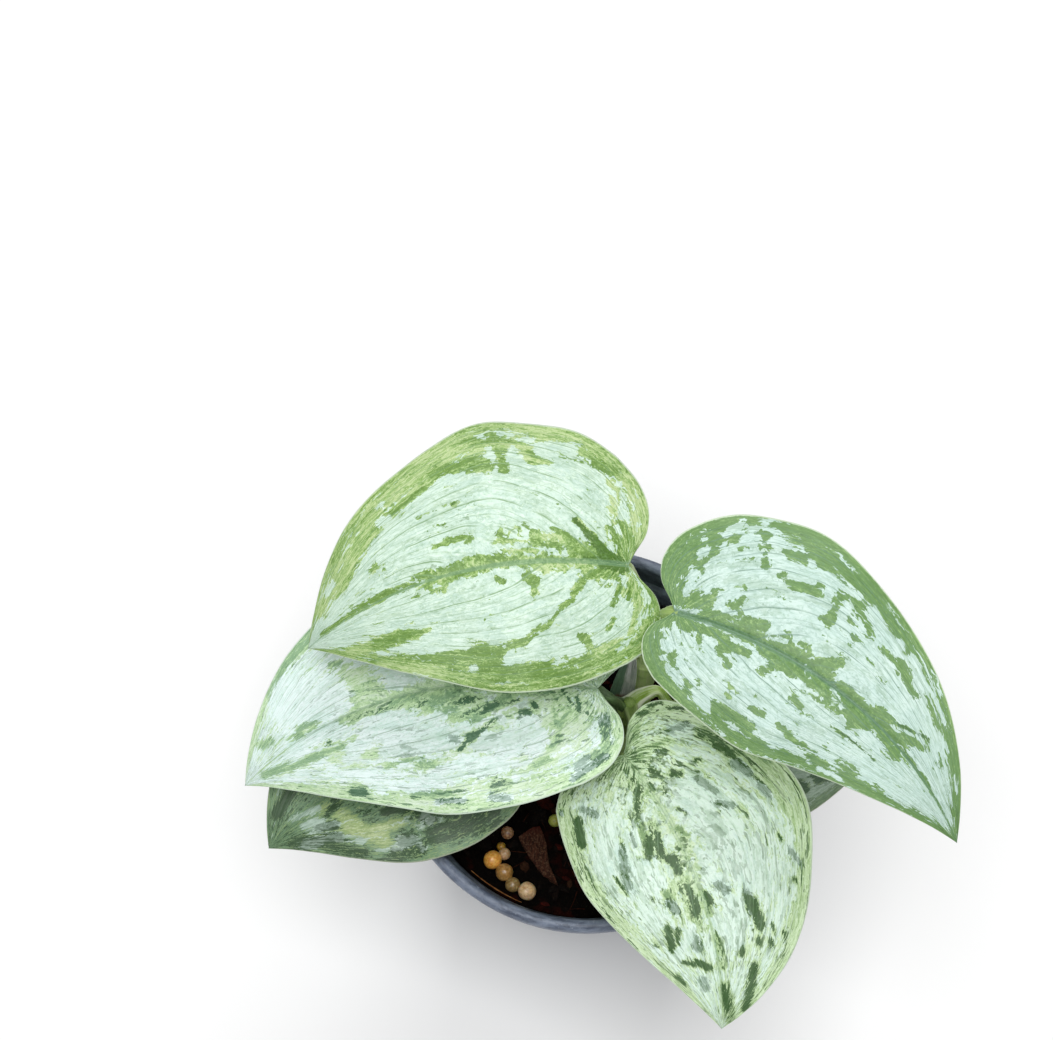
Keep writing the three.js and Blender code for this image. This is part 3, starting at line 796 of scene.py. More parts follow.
# how soft and how broken up the pattern is on the two dark leaves low in the plant
deepLooks = {"marbling": 0.4, "patchiness": 0.85, "lace": 0.7, "softness": 0.3, "halftone": 0.6,
             "flecks": 0.4, "fan": 0.2, "veins": 0.4, "rib": 0.3}
leaves = {
    "back": {
        "base": (8.2, 25.4, 120), "heading": 180, "pitch": 18, "roll": 3, "length": 75, "left": 26.7,
        "right": 37.1, "sweep": 30, "droop": 58, "fold": 2, "cup": 28, "lobes": (0.82, 0.63),
        "belly": (0.07, 0.04), "peak": (0.045, 0.09), "wave": 0.7,
        "slot": "blade_lime", "seed": 1,
        "palette": {"silver": "#bed7c8", "bright": "#d3e8d8", "cream": "#bccf98", "lime": "#94b56c",
                    "green": "#698c41", "dark": "#4c7028", "edge": "#d2e4c8", "vein": "#7a9c6c",
                    "midrib": "#729674"},
        "window": {"middle": (0.0, 0.12), "margin": (0.74, 0.93)},
        "looks": {"bias": 0, "chlorophyll": 0.66, "marbling": 0.85, "patchiness": 1.0, "lace": 0.45,
                  "softness": 0.1, "halftone": 0.3, "flecks": 0.3, "fan": 0.6, "veins": 0.85, "rib": 0.6},
        "markings": [
            ("y", 62, -8, 50, -18, 2.4), ("y", 50, -20, 38, -28, 3.4), ("y", 40, -32, 12, -35, 3.0),
            ("g", 37, -26, 28, -26, 1.9), ("y", 28, -31, 20, -31, 2.4), ("g", 30, -33, 24, -35, 1.6),
            ("y", 10, -33, 2, -28, 2.2), ("g", 5, -25.5, 0, -22, 1.5), ("y", -2, -22, -5, -10, 1.8),
            ("c", -2, -6, -2, -17, 1.3), ("c", 3, -12, 2, -20, 1.4), ("g", 24.6, -29.5, 24, -23.4, 1.1),
            ("y", 20.6, -31, 18.4, -25, 1.0), ("y", 18, -26.4, 14.6, -25, 0.7),
            ("g", 13, -27.4, 11, -25, 0.4), ("g", 30, -27, 27, -24.6, 0.9),
            ("g", 18.4, -29, 17.4, -26, 0.5), ("g", 14.6, -13.6, 14, -12, 0.5),
            ("y", 68, -5, 60, -11, 1.6), ("d", 42.6, -15, 35, -16.2, 0.12),
            ("g", 51, -16, 40, -22.5, 0.7), ("d", 2, -0.8, 12, -2.2, 1.2), ("d", 11, -9.5, 5, -2, 0.7),
            ("d", 9, -6, 4, -1, 0.7), ("g", 16, -7.4, 8, -2, 0.8), ("g", 14, -5, 8, -2, 0.8),
            ("g", 22, -8.6, 18.5, -4.5, 0.9), ("g", 20, -4.6, 10, -2, 1.1), ("y", 20, -6, 14, -5, 0.8),
            ("y", 28, -5.2, 22, -4.6, 0.25), ("y", 27, -3, 20, -2.2, 0.35),
            ("g", 29, -7.5, 26.6, -7, 0.25), ("g", 34, -2.4, 28, -1.4, 0.6),
            ("g", 37, -7.7, 33, -7.4, 0.8), ("g", 40.6, -6.8, 37, -7.4, 0.4), ("g", 4, -8, 0.5, -2, 0.9),
            ("g", 1, -9, -1.5, -3, 0.8), ("g", 40, -2, 36.5, -1.6, 0.9), ("g", 46, -1.2, 38, -1, 0.7),
            ("g", 58, -1, 42, -1, 0.7), ("g", 70, -0.5, 58, -0.8, 0.5), ("g", 54.5, -7, 53, -7.6, 0.6),
            ("g", 22.8, 3.2, 20.6, 4.4, 1.1), ("y", 20, 1.8, 9, 2, 1.3), ("g", 21.4, 5, 21.6, 8.4, 0.6),
            ("s", 14.6, 3.8, 12, 2.4, 0.6), ("g", 29, 3, 28, 4, 0.8), ("g", 31.5, 7.4, 30.4, 7.6, 0.3),
            ("g", 43.6, 1.6, 43, 2.8, 0.6), ("y", 40.6, 2.6, 40, 3, 0.5), ("g", 9, 3, 4, 2.4, 1.2),
            ("d", 6, 0.8, 1, 1.2, 0.9), ("g", 10.5, 4.4, 13.5, 8.6, 0.8), ("g", 13.5, 8.6, 19, 14, 0.7),
            ("g", 19, 14, 25, 17.2, 0.8), ("g", 25, 17.2, 31, 18.6, 0.8), ("g", 31, 18.8, 37, 17.4, 1.1),
            ("y", 65, 6.8, 50, 10.4, 1.3), ("g", 59, 8.4, 50.4, 10.2, 1.1),
            ("g", 49, 10, 45.6, 10.4, 0.4), ("g", 61, 11.6, 52, 15.6, 1.4),
            ("g", 52, 15.8, 41, 17.4, 1.3), ("g", 39, 18, 31, 21.2, 1.4), ("y", 60, 12.6, 46, 19.6, 1.1),
            ("s", 52.4, 12, 49.4, 13.2, 0.7), ("g", 36, 22, 12, 25, 1.5), ("g", 32, 23.4, 20, 24, 0.9),
            ("g", 50, 15, 40, 20, 0.6), ("g", 23, 22.4, 19, 22, 0.8), ("g", 14, 22.6, 9.6, 21, 0.9),
            ("y", 8, 20, 2, 17.6, 1.0), ("g", 11.4, 16.4, 9.4, 18, 1.1), ("g", 5, 15, 3.4, 12.4, 0.5),
            ("g", 4, 10, 2, 4, 0.4), ("y", -0.5, 4, -2, 10, 1.1), ("g", 0.5, 8, -0.5, 3, 0.4),
            ("y", 0, 15, -2, 10, 0.9), ("g", 6, 21.5, 1, 17.5, 0.5), ("s", 26.6, -30, 26, -26.6, 0.9),
            ("s", 22, -29.4, 21.4, -27, 1.1), ("s", 14, -30.2, 9.6, -29.6, 1.5),
            ("s", 49.6, -17.6, 48.4, -16, 0.9), ("s", 49.2, -21, 48, -20, 0.7),
            ("s", 35.6, -23.6, 33, -23, 0.8), ("s", 44, 13, 40, 14.2, 0.8),
            ("s", 30, 20.6, 20, 20.4, 0.8), ("s", 65, -7.6, 63, -9, 0.7), ("s", 28, -35, 27, -34.4, 0.5),
            ("s", 19, -33.5, 18, -33, 0.7), ("s", 26.4, -4, 22.8, -3.6, 0.4),
        ],
    },
    "left": {
        "base": (1.7, 2.1, 107), "heading": 171.5, "pitch": -2, "roll": 2.6, "length": 85, "left": 27.1,
        "right": 31.5, "sweep": 48, "droop": 27, "fold": 8, "cup": 20, "lobes": (0.71, 0.7),
        "belly": (0.09, 0.06), "peak": (0.06, 0.03), "wave": 0.6, "slot": "blade_silver", "seed": 2,
        "palette": {"silver": "#d7eee8", "bright": "#e6f5f4", "cream": "#d2e6ca", "lime": "#b8d6a4",
                    "green": "#8bad87", "dark": "#4d7054", "edge": "#d6e9d4", "vein": "#84a288",
                    "midrib": "#849f7e"},
        "window": {"middle": (0.0, 0.10), "margin": (0.80, 1.0)},
        "looks": {"bias": -0.5, "chlorophyll": 0.4, "marbling": 0.68, "patchiness": 0.8, "lace": 0.85,
                  "softness": 0.26, "halftone": 0.4, "flecks": 0.75, "fan": 0.8, "veins": 0.65,
                  "rib": 0.3},
        "markings": [
            ("c", 12, 3, 4, 12, 3.5), ("c", 4, 12, 10, 18, 2.5), ("c", 45, 24, 10, 24, 1.5),
            ("y", 54, -8, 49, -2, 3.0), ("y", 47, -1, 38, 2, 1.8), ("y", 40, 6, 30, 7, 2.0),
            ("y", 20, 2, 8, 2, 1.6), ("g", 70, -1, 56, 1.4, 0.8), ("o", 56, 1, 46, 2.6, 0.9),
            ("o", 44, 2, 26, 4.4, 1.3), ("o", 34, 0.6, 12, 1.2, 1.1), ("o", 30, 7.6, 18, 4.8, 0.9),
            ("g", 50, 5.4, 38, 8.4, 0.6), ("g", 45, 1, 40, 1.2, 1.1), ("g", 36, 3, 30, 2, 1.1),
            ("g", 35, 5.5, 31, 6.5, 0.9), ("g", 27, 8.6, 19, 3.6, 0.9), ("d", 25, 7.2, 21.5, 5, 0.6),
            ("g", 20, 1.5, 14, 2, 0.9), ("d", 16, 7, 14, 7.4, 0.6), ("d", 13.5, 5.2, 12.5, 6, 0.5),
            ("h", 16, 8.5, 14, 9.5, 0.8), ("g", 10, 2, 7, 6, 0.3), ("d", 7.5, 1.5, 4.5, 5, 0.16),
            ("g", 5, 6, 7, 10, 0.7), ("d", 4, 3, 3, 6, 0.4), ("g", 9, 5, 8, 9, 0.3),
            ("h", -2.5, 7, -3.8, 12, 1.2), ("g", -2.8, 9.5, -3.6, 12.5, 0.7),
            ("d", -3, 10, -3.4, 11.6, 0.4), ("g", -3.5, 13.5, 0, 17.5, 0.8),
            ("d", -3, 15.4, -1, 17.6, 0.5), ("h", 0, 16, 2, 18.5, 0.9), ("h", -4, 15, 3, 21.5, 0.7),
            ("g", 7, 12, 8.5, 14.5, 0.7), ("d", 21.5, 23, 19.5, 22.6, 0.8),
            ("o", 21.6, 22.6, 18.5, 22.5, 1.1), ("d", 45, 22.5, 36, 23.8, 0.3),
            ("g", 44, 22, 34, 24, 0.7), ("h", 23, 25.6, 18, 25.8, 0.8), ("h", 38, 25, 30, 26, 0.6),
            ("g", 67, -2.4, 62, -2, 0.9), ("d", 62.2, 4.2, 61.4, 4.4, 0.5), ("g", 72.5, 4.5, 59, 7, 0.8),
            ("g", 41, 16.6, 37.6, 16.8, 0.9), ("g", 50, 14.5, 40, 15, 0.4), ("y", 62, 8, 52, 11, 1.3),
            ("g", 70, -14, 60, -20, 1.6), ("d", 60, -23, 56, -27, 0.9), ("g", 76, -4, 74, -3.5, 0.9),
            ("g", 79.5, 1.5, 74, 3.5, 1.0), ("g", 56, -12, 54, -11.5, 0.7), ("y", 70, 12, 58, 17, 1.3),
            ("h", 36, 10, 31, 13, 1.0), ("g", 12, 19, 8, 17, 0.6), ("g", 60, -20, 40, -28, 2.0),
            ("g", 20, -27, 6, -26, 2.2), ("d", 16, -12, 8, -8, 1.3), ("y", 30, -18, 24, -14, 1.8),
            ("s", 26, 13.6, 17, 14.2, 2.0), ("s", 14, 10, 12, 15, 2.2), ("s", 46, 8, 36, 10, 3.4),
            ("s", 52, 5, 44, 5, 1.8), ("s", 66, -10, 58, -5, 4.2), ("s", 70, 1, 60, 1.5, 1.5),
            ("s", 58, 9.5, 54, 8, 1.5), ("s", 45, 20.5, 37, 21, 1.2), ("s", 44.5, -2.5, 43, -2, 0.9),
            ("s", 30, 18, 20, 19, 1.4), ("s", 40, -14, 20, -12, 4.0), ("d", 22, 9, 26, 11.6, 0.4),
            ("d", 26.4, 12, 27.8, 12.7, 0.9), ("d", 27.8, 12.7, 30.4, 15.2, 0.35),
            ("o", 60.8, 16.6, 56.8, 18.5, 1.0), ("d", 60.2, 17, 57.4, 18.2, 0.7),
        ],
    },
    "low_left": {
        "base": (-22, -1.3, 88), "heading": 191.5, "pitch": -4, "roll": 0, "length": 57, "left": 25,
        "right": 25.5, "sweep": 36, "droop": 14, "fold": 7, "cup": 20, "lobes": (0.93, 0.9),
        "belly": (0.07, 0.05), "peak": (0, 0), "wave": 0.5, "slot": "blade_deep", "seed": 3,
        "palette": {"silver": "#b0c6b8", "bright": "#cadbd0", "cream": "#c0cea0", "lime": "#9cb276",
                    "green": "#71906f", "dark": "#3d5639", "edge": "#a5b198", "vein": "#6f8972",
                    "midrib": "#617d60"},
        "window": {"middle": (0.2, 0.4), "margin": (0.7, 1.0)},
        "looks": {**deepLooks, "bias": -0.75, "chlorophyll": 0.9, "dark": 0.24},
        "markings": [
            ("y", 41, 3, 38.6, 8, 1.5), ("y", 39, 8, 32, 15, 2.6), ("y", 32, 13, 27, 15, 1.6),
            ("m", 35, 7, 33.6, 9.4, 1.3), ("m", 33, 10, 23, 12.6, 1.5), ("n", 22, 12, 4, 18, 3.4),
            ("n", 20, 20, 4, 21, 2.4), ("d", 29, 10.6, 24, 12, 0.7), ("m", 30, 16, 24, 17, 1.0),
            ("h", 20, 15, 19, 16.4, 1.2), ("h", 28.4, 18, 25.6, 19, 1.3), ("h", 32, 19.4, 24, 21.6, 1.2),
            ("h", 16, 13.4, 14, 14.4, 0.9), ("s", 47.5, -3, 44, -2.6, 0.8),
            ("s", 48.6, -1, 42.5, 1.6, 1.0), ("s", 48, 2.2, 44.4, 3.6, 0.7), ("h", 45, 5, 41, 7, 0.9),
            ("s", 38.8, 12.8, 37.6, 13.8, 0.5), ("m", 56, 0, 50, 3, 2.0), ("n", 52, 4, 44, 9, 1.5),
            ("m", 52, -3, 30, -4, 2.4), ("n", 41, 4, 38, 3, 1.3), ("m", 30, 6, 12, 9, 2.4),
            ("h", 50, 6, 42, 10, 1.2), ("s", 36, 17, 33, 18.6, 0.3), ("n", 46, 10, 39, 16, 1.5),
            ("n", 38, 19.4, 26, 21.4, 1.1), ("s", 40, -8, 20, -14, 3.0), ("h", 28, -6, 10, -8, 2.4),
            ("s", 20, -18, 8, -18, 2.0), ("h", 24, 3, 6, 6, 2.2), ("d", 50, -4, 44, -6, 1.2),
        ],
    },
    "front": {
        "base": (7.5, -10.5, 99), "heading": -55, "pitch": 9, "roll": 6, "length": 62.5, "left": 27,
        "right": 23, "sweep": -37, "droop": 36, "fold": 3, "cup": 30, "lobes": (0.9, 0.5),
        "belly": (0.1, 0.08), "peak": (0.13, 0.03), "wave": 0.5, "slot": "blade_silver", "seed": 4,
        "palette": {"silver": "#cae3d7", "bright": "#dcf1e3", "cream": "#d0e6c0", "lime": "#adc992",
                    "green": "#7a9b66", "dark": "#3b5c2f", "edge": "#d8ecce", "vein": "#8fae8c",
                    "midrib": "#acc795"},
        "window": {"middle": (-0.06, 0.1), "margin": (0.75, 1.0)},
        "looks": {"bias": -0.6, "chlorophyll": 0.26, "marbling": 0.62, "patchiness": 0.8, "lace": 0.8,
                  "softness": 0.36, "halftone": 0.5, "flecks": 1.0, "fan": 1.0, "veins": 0.35, "rib": 0.2},
        "markings": [
            ("c", 28, -1, 36, -4, 1.6), ("c", -4, 12, 4, 20, 2.4), ("y", 10, 22, 26, 26, 2.2),
            ("y", -2, 0, 3, 0, 1.6), ("o", -1, 0, 4, -0.4, 0.9), ("g", 0, 0, -3, 6, 0.5),
            ("g", 1, 1, 5, 5, 0.4), ("g", 0, -1, 2, -6, 0.4), ("c", 5, 0, 20, -0.4, 0.9),
            ("g", 2, 2, 3, 9, 0.35), ("o", 3, -1, 8, -2.2, 0.5), ("c", 48, -14, 40, -18, 2.0),
            ("d", 6.4, 2.6, 8.8, 3.6, 0.65), ("d", 9.4, 6.2, 10.6, 7.4, 0.65),
            ("d", 9.6, 12, 10, 13, 0.45), ("o", 6, 17, 12.4, 20.4, 1.5), ("d", 9, 17.4, 11.4, 19.4, 0.6),
            ("o", 5.4, 15.6, 8, 18, 0.7), ("h", 14, 19, 16.4, 20.4, 1.0), ("h", 13, 10, 16.6, 11.6, 1.0),
            ("h", 19, 10.5, 20.5, 13.5, 0.8), ("h", 19.4, 21.4, 21.4, 22, 0.9),
            ("g", 15.6, 4.8, 17.5, 6.6, 0.6), ("h", 1.6, 11, 2.6, 15, 0.8),
            ("d", 8.6, -2.2, 13.4, -5.6, 0.7), ("g", 15, -5.6, 19, -6.4, 0.9),
            ("d", 19, -5.4, 22.4, -7, 0.9), ("o", 17, -3.6, 23, -4.6, 0.9),
            ("d", 20, -3.6, 23.6, -5, 0.4), ("d", 22, -9.4, 23.6, -8.4, 0.5),
            ("h", 16, -8.4, 19, -8.8, 0.5), ("d", 21.6, -13, 23.4, -13.4, 0.7),
            ("h", 17.4, -12, 23.6, -12.8, 1.1), ("h", 25.4, -14, 28, -13, 1.0),
            ("d", 6, -16.6, 10.8, -18.6, 1.15), ("h", 4.6, -14, 7.4, -12.6, 0.9),
            ("h", 1, -18.4, 1.8, -18.8, 0.5), ("d", 25.2, -2.6, 28.4, -3, 0.85),
            ("d", 24.6, -4, 25.4, -3.8, 0.4), ("g", 31.4, -6.6, 33, -6.8, 0.8),
            ("o", 31, -3.2, 38, -2.6, 1.4), ("d", 33, -2, 37.6, -2.2, 0.6),
            ("o", 39.4, -2.6, 41.2, -2.2, 0.7), ("d", 34.6, 1, 36, 1.3, 0.65),
            ("o", 37.4, 0.4, 38.6, 0.5, 0.6), ("d", 39.2, -9, 44.4, -9, 0.75),
            ("d", 40, -7, 43.6, -7.2, 0.45), ("d", 47.6, -7, 48.6, -5, 0.5),
            ("d", 48, -4.4, 49.6, -1.8, 0.65), ("o", 43.8, 0.6, 49.4, 1, 0.75),
            ("o", 53.6, 0.9, 60.4, 2, 1.15), ("d", 54, 0.6, 58, 1.2, 0.5),
            ("d", 50, 7.4, 53.4, 6.4, 0.75), ("d", 54, 6.2, 58, 4.8, 0.8),
            ("d", 50.8, -8.8, 52.6, -7.4, 0.35), ("d", 36.6, 8.8, 38.6, 9.2, 0.7),
            ("d", 38.4, 9.4, 42.8, 10, 1.05), ("h", 35, 9.6, 36.4, 9.4, 0.8),
            ("d", 46.6, 5.4, 47.4, 5.2, 0.75), ("d", 46.2, 11.6, 46.6, 11.6, 0.6),
            ("d", 43.6, 12.6, 44.6, 12.6, 0.4), ("d", 45, 14.6, 45.6, 14.8, 0.4),
            ("d", 45.4, 9, 46.2, 9.2, 0.5), ("h", 32, 21.4, 34.4, 22.2, 0.7),
            ("d", 36.8, 20, 37.3, 20, 0.4), ("h", 33.5, 4, 35, 5, 1.0), ("d", 29, 20, 29.6, 20.2, 0.3),
            ("h", 34, -7, 36, -6, 0.9), ("h", 52, -3.6, 53.6, -3.2, 1.0),
            ("d", 42.5, -12.5, 43, -12, 0.3), ("h", 43, -4, 45, -3.6, 1.0),
            ("d", -5.6, 8, -4.8, 9.6, 0.55), ("d", -5.8, 11, -4.8, 13.6, 0.45),
            ("g", -2.2, 4.4, -1.6, 5, 0.4), ("g", 1.4, 3.6, 1.8, 4.6, 0.4), ("h", 4, 6, 4.8, 7.4, 0.6),
            ("d", -3, 14, -1, 17, 0.4), ("d", 20, -16.5, 29, -14.6, 0.2), ("g", 12, 24, 16, 26, 0.6),
            ("d", 16.2, 3.2, 18.4, 4.4, 0.3), ("d", 19.4, 11.4, 20, 11.4, 0.3),
            ("g", 20, 1.2, 22, 1.6, 0.7), ("s", 12, -12, 20, -16, 2.2), ("s", 24, -10, 30, -12, 2.0),
            ("s", 14, 6.6, 30, 8, 2.4), ("s", 26, 10, 34, 12, 2.6), ("s", 38, 5, 45, 4, 1.6),
            ("s", 33, -12, 38, -12, 1.6), ("s", 42, -5, 46, -8, 1.0),
        ],
    },
    "right": {
        "base": (16.9, 11.5, 130), "heading": -20.5, "pitch": 8, "roll": 8, "length": 76, "left": 25.8,
        "right": 19.2, "sweep": -44, "droop": 34, "fold": 5, "cup": 22, "lobes": (0.66, 0.51),
        "belly": (-0.05, 0.06), "peak": (0.07, 0.1), "wave": 0.6, "slot": "blade_green", "seed": 5,
        "palette": {"silver": "#c1dad1", "bright": "#d2e7dd", "cream": "#b2c890", "lime": "#8fb070",
                    "green": "#688c52", "dark": "#4a6e3c", "edge": "#d3e6c8", "vein": "#688a76",
                    "midrib": "#587d57"},
        "window": {"middle": (0.03, 0.16), "margin": (0.74, 1.0)},
        "looks": {"bias": 0, "chlorophyll": 0.85, "marbling": 0.42, "patchiness": 1.1, "lace": 0.32,
                  "softness": 0.08, "halftone": 0.5, "flecks": 0.15, "fan": 0.3, "veins": 0.75,
                  "rib": 0.8},
        "markings": [
            ("g", -2, 2.6, 5, 3.6, 1.6), ("g", -4, 6, -1.6, 15, 2.8), ("g", 0.6, 5, 1, 17, 2.0),
            ("g", 2, 11.4, 3.4, 16, 1.3), ("g", 0, 18, 7, 23.4, 1.9), ("g", 2.6, 17, 6.6, 19, 0.8),
            ("g", 5.8, 4, 6.6, 6.6, 0.7), ("g", 10.8, 4.6, 12, 7.2, 0.9), ("g", 8, 2, 12, 3, 0.6),
            ("g", 13, 2.6, 18, 3.8, 1.3), ("g", 6, 1, 30, 0.9, 0.9), ("g", 20.6, 1.6, 23, 3.8, 0.9),
            ("g", 25.6, 3.8, 27.6, 3.8, 0.4), ("g", 31, 1.8, 34, 4.8, 1.1),
            ("g", 11.4, 22, 13.4, 15.2, 1.0), ("g", 16.6, 14.6, 17.2, 15.4, 0.8),
            ("g", 8, 16.4, 8.8, 17, 0.4), ("g", 20.4, 14.4, 27, 16, 1.5), ("g", 18, 14, 20, 14.4, 0.5),
            ("g", 15, 19.4, 22, 20.8, 1.3), ("g", 27.8, 13.4, 28, 10.4, 0.8),
            ("g", 28.6, 17.6, 31, 17.2, 0.9), ("g", 21, 22.8, 31, 20.6, 1.6),
            ("g", 31.4, 16.4, 34.2, 15.2, 1.1), ("g", 34.2, 15, 35.4, 13, 0.7),
            ("g", 31, 13.4, 32, 13, 0.5), ("g", 33.2, 11, 35.2, 10.4, 0.7),
            ("g", 38.6, 12.4, 41, 12, 0.6), ("g", 37.4, 8.8, 39, 8.6, 0.3), ("g", 28.8, 7, 30.4, 7, 0.3),
            ("g", 43, 12.4, 47.4, 10, 1.2), ("g", 33, 19.4, 42, 16, 1.5), ("g", 46, 2, 48.4, 2.6, 0.9),
            ("g", 52, 1.8, 56.4, 3.8, 0.8), ("d", 50, 3, 56, 5.8, 0.2), ("g", 60, 4.6, 61, 4.4, 0.4),
            ("g", 34, 0.7, 52, 1.0, 0.7), ("g", 9, 24.8, 22, 24, 1.9), ("g", 50, 10.6, 62, 7.4, 0.9),
            ("g", 62, 7, 74, 1, 1.1), ("s", 1, 4.6, 1.4, 9, 0.9), ("s", 1.2, 13, 1.8, 13.8, 0.9),
            ("s", 0.8, 16.2, 1, 16.4, 0.5), ("s", 4.8, 20.4, 5.4, 20.6, 0.6),
            ("s", 4.6, 18.4, 5.2, 18.6, 0.6), ("s", 6, 21, 6.4, 23, 0.6), ("s", 8, 19, 9, 21.8, 0.9),
            ("s", 9.8, 24.2, 10.6, 24.3, 0.4), ("s", 13.4, 21.4, 14.8, 18, 1.0),
            ("s", 11.6, 23.4, 12.6, 23.2, 0.5), ("s", 15.4, 17.4, 22.6, 17.8, 0.8),
            ("s", 20.2, 20.4, 21, 19.6, 0.6), ("s", 17.8, 22, 18.6, 21.8, 0.4),
            ("s", 24.8, 19, 26, 15, 0.9), ("s", 28.2, 18.4, 30, 18.4, 0.8),
            ("s", 33.4, 17.8, 34.4, 16.2, 0.8), ("s", 40.4, 15.6, 40.8, 15.2, 0.7),
            ("s", 46.4, 11, 48, 10.4, 0.5), ("s", 50, 10.2, 50.6, 9.8, 0.4),
            ("s", 56, 8.2, 60, 7.2, 0.3), ("s", 64, 5.6, 67, 4.4, 0.3), ("s", 9.4, 3.6, 12, 3.9, 0.5),
            ("s", 19.6, 1.7, 23, 2.4, 0.45), ("g", -3, -2, 3, -2.2, 1.4), ("g", -3.6, -5, 1, -14, 1.9),
            ("g", 2.4, -9.4, 3.4, -11.6, 0.8), ("g", 3, -1.6, 12, -2, 0.9),
            ("g", 4, -3.6, 4.4, -4.6, 0.5), ("g", 6.4, -3, 7, -4.4, 0.4),
            ("g", 11.8, -3.4, 14.4, -6.8, 1.2), ("g", 12, -2.4, 17, -3.4, 0.9),
            ("g", 7, -13.4, 8.6, -16, 1.0), ("g", 9.8, -12.4, 10.8, -14, 0.7),
            ("o", 16.8, -10.8, 17.4, -12.6, 0.6), ("g", 21, -5.2, 22, -5.6, 0.5),
            ("g", 20, -1.6, 27, -3.4, 1.0), ("g", 26, -1.4, 46, -1.4, 1.0),
            ("g", 36, -2.6, 44, -2.6, 1.2), ("g", 30, -6.8, 32.4, -7.4, 0.7),
            ("g", 46, -1, 54, -1.8, 1.1), ("g", 42.8, -3.8, 43.4, -4, 0.6),
            ("g", 15, -16, 27, -16.6, 1.7), ("g", 23.6, -12.8, 26.4, -12.8, 0.6),
            ("g", 31, -12.8, 33.6, -13.4, 0.7), ("g", 34, -13.6, 39, -13.6, 0.6),
            ("g", 41, -13.6, 45, -13.4, 1.0), ("g", 47, -10.8, 51.4, -10.4, 0.8),
            ("g", 42, -10.4, 43, -10.4, 0.5), ("g", 56, -8.6, 58, -8.2, 0.3),
            ("g", 4, -17, 16, -19, 1.4), ("g", 28, -18.2, 44, -15.6, 1.1), ("g", 45, -14.4, 66, -7, 1.1),
            ("g", 66, -6, 75, -0.8, 1.2), ("d", 40, -6.5, 52, -5.4, 0.15),
            ("s", 0.8, -2.8, 1.2, -5.2, 0.5), ("s", -0.2, -6.8, 0.2, -8, 0.7),
            ("s", 0.4, -9.8, 0.6, -10, 0.5), ("s", 2, -11.4, 2.6, -12.4, 0.6),
            ("s", 4.2, -11.6, 5, -13.4, 0.6), ("s", 6, -12, 6.6, -14, 0.5),
            ("s", 10.6, -14.8, 13.8, -16.4, 1.0), ("s", 27.4, -15.8, 32.6, -16.4, 0.9),
            ("s", 34, -15, 42, -14.8, 0.4), ("s", 25.4, -3.8, 28, -4.4, 0.5),
            ("s", 44, -14.6, 50, -13.2, 0.3), ("s", 20, -17.6, 22, -17.8, 0.3),
            ("s", 3.6, -4.4, 5, -9, 1.0),
        ],
    },
    "low_right": {
        "base": (21, 4.5, 89), "heading": -16, "pitch": 4, "roll": 0, "length": 46, "left": 21, "right": 28,
        "sweep": 4, "droop": 26, "fold": 7, "cup": 20, "lobes": (0.9, 0.9), "belly": (0.03, 0.03),
        "peak": (0, 0), "wave": 0.4, "slot": "blade_deep", "seed": 6,
        "palette": {"silver": "#93a497", "bright": "#a0b0a2", "cream": "#a9b78c", "lime": "#86986f",
                    "green": "#6a8066", "dark": "#435944", "edge": "#b9bda9", "vein": "#7d917c",
                    "midrib": "#6a8066"},
        "window": {"middle": (0.1, 0.3), "margin": (0.75, 0.98)},
        "looks": {**deepLooks, "bias": -0.1, "chlorophyll": 0.95, "dark": 0.2},
        "markings": [
            ("d", 46, -1, 33, -8.5, 1.6), ("d", 40, -2, 34, -4, 1.1), ("h", 30, -4, 24, -5, 1.8),
            ("d", 30, -12, 16, -16, 1.4), ("h", 20, -10, 10, -14, 3.0), ("s", 24, 8, 12, 10, 3.0),
            ("g", 12, 2, 4, 2, 2.0), ("d", 28, 4, 36, 5, 1.4),
        ],
    },
}

bladeMesh = {"along": 150, "across": 104, "thickness": 0.55, "thinnedEdge": 0.5, "grooveDepth": 0.32,
             "grooveWidth": 0.75, "pleatDepth": 0.09, "pleats": 5, "relief": 0.12}
underside = {"cloud": ("#9fb58d", "#b7c8a6"), "streak": "#88a077", "rib": "#c9d6b0", "veins": 13}

# what each kind of marking does: silver from -1 to 1, then chlorophyll and dark from 0 to 1; None leaves it
markingKinds = {
    "s": (1, None, 0), "g": (-0.85, 1.0, 0.1), "y": (-0.8, 0.36, 0), "c": (-0.35, 0.12, 0),
    "d": (-1.25, 1, 1), "o": (-1.0, 0.6, 0.5), "m": (-1.0, 1, 0.45), "n": (-1.1, 1, 0.7), "h": (0.5, 1, 0.9),
}

# one half of the heart, from the sinus round the lobe to the tip: share of length, share of half width
heart = [(0, 0), (-0.035, 0.10), (-0.10, 0.27), (-0.115, 0.50), (-0.06, 0.76), (0.09, 0.955),
         (0.29, 1), (0.49, 0.875), (0.68, 0.62), (0.83, 0.345), (0.93, 0.14), (1, 0)]


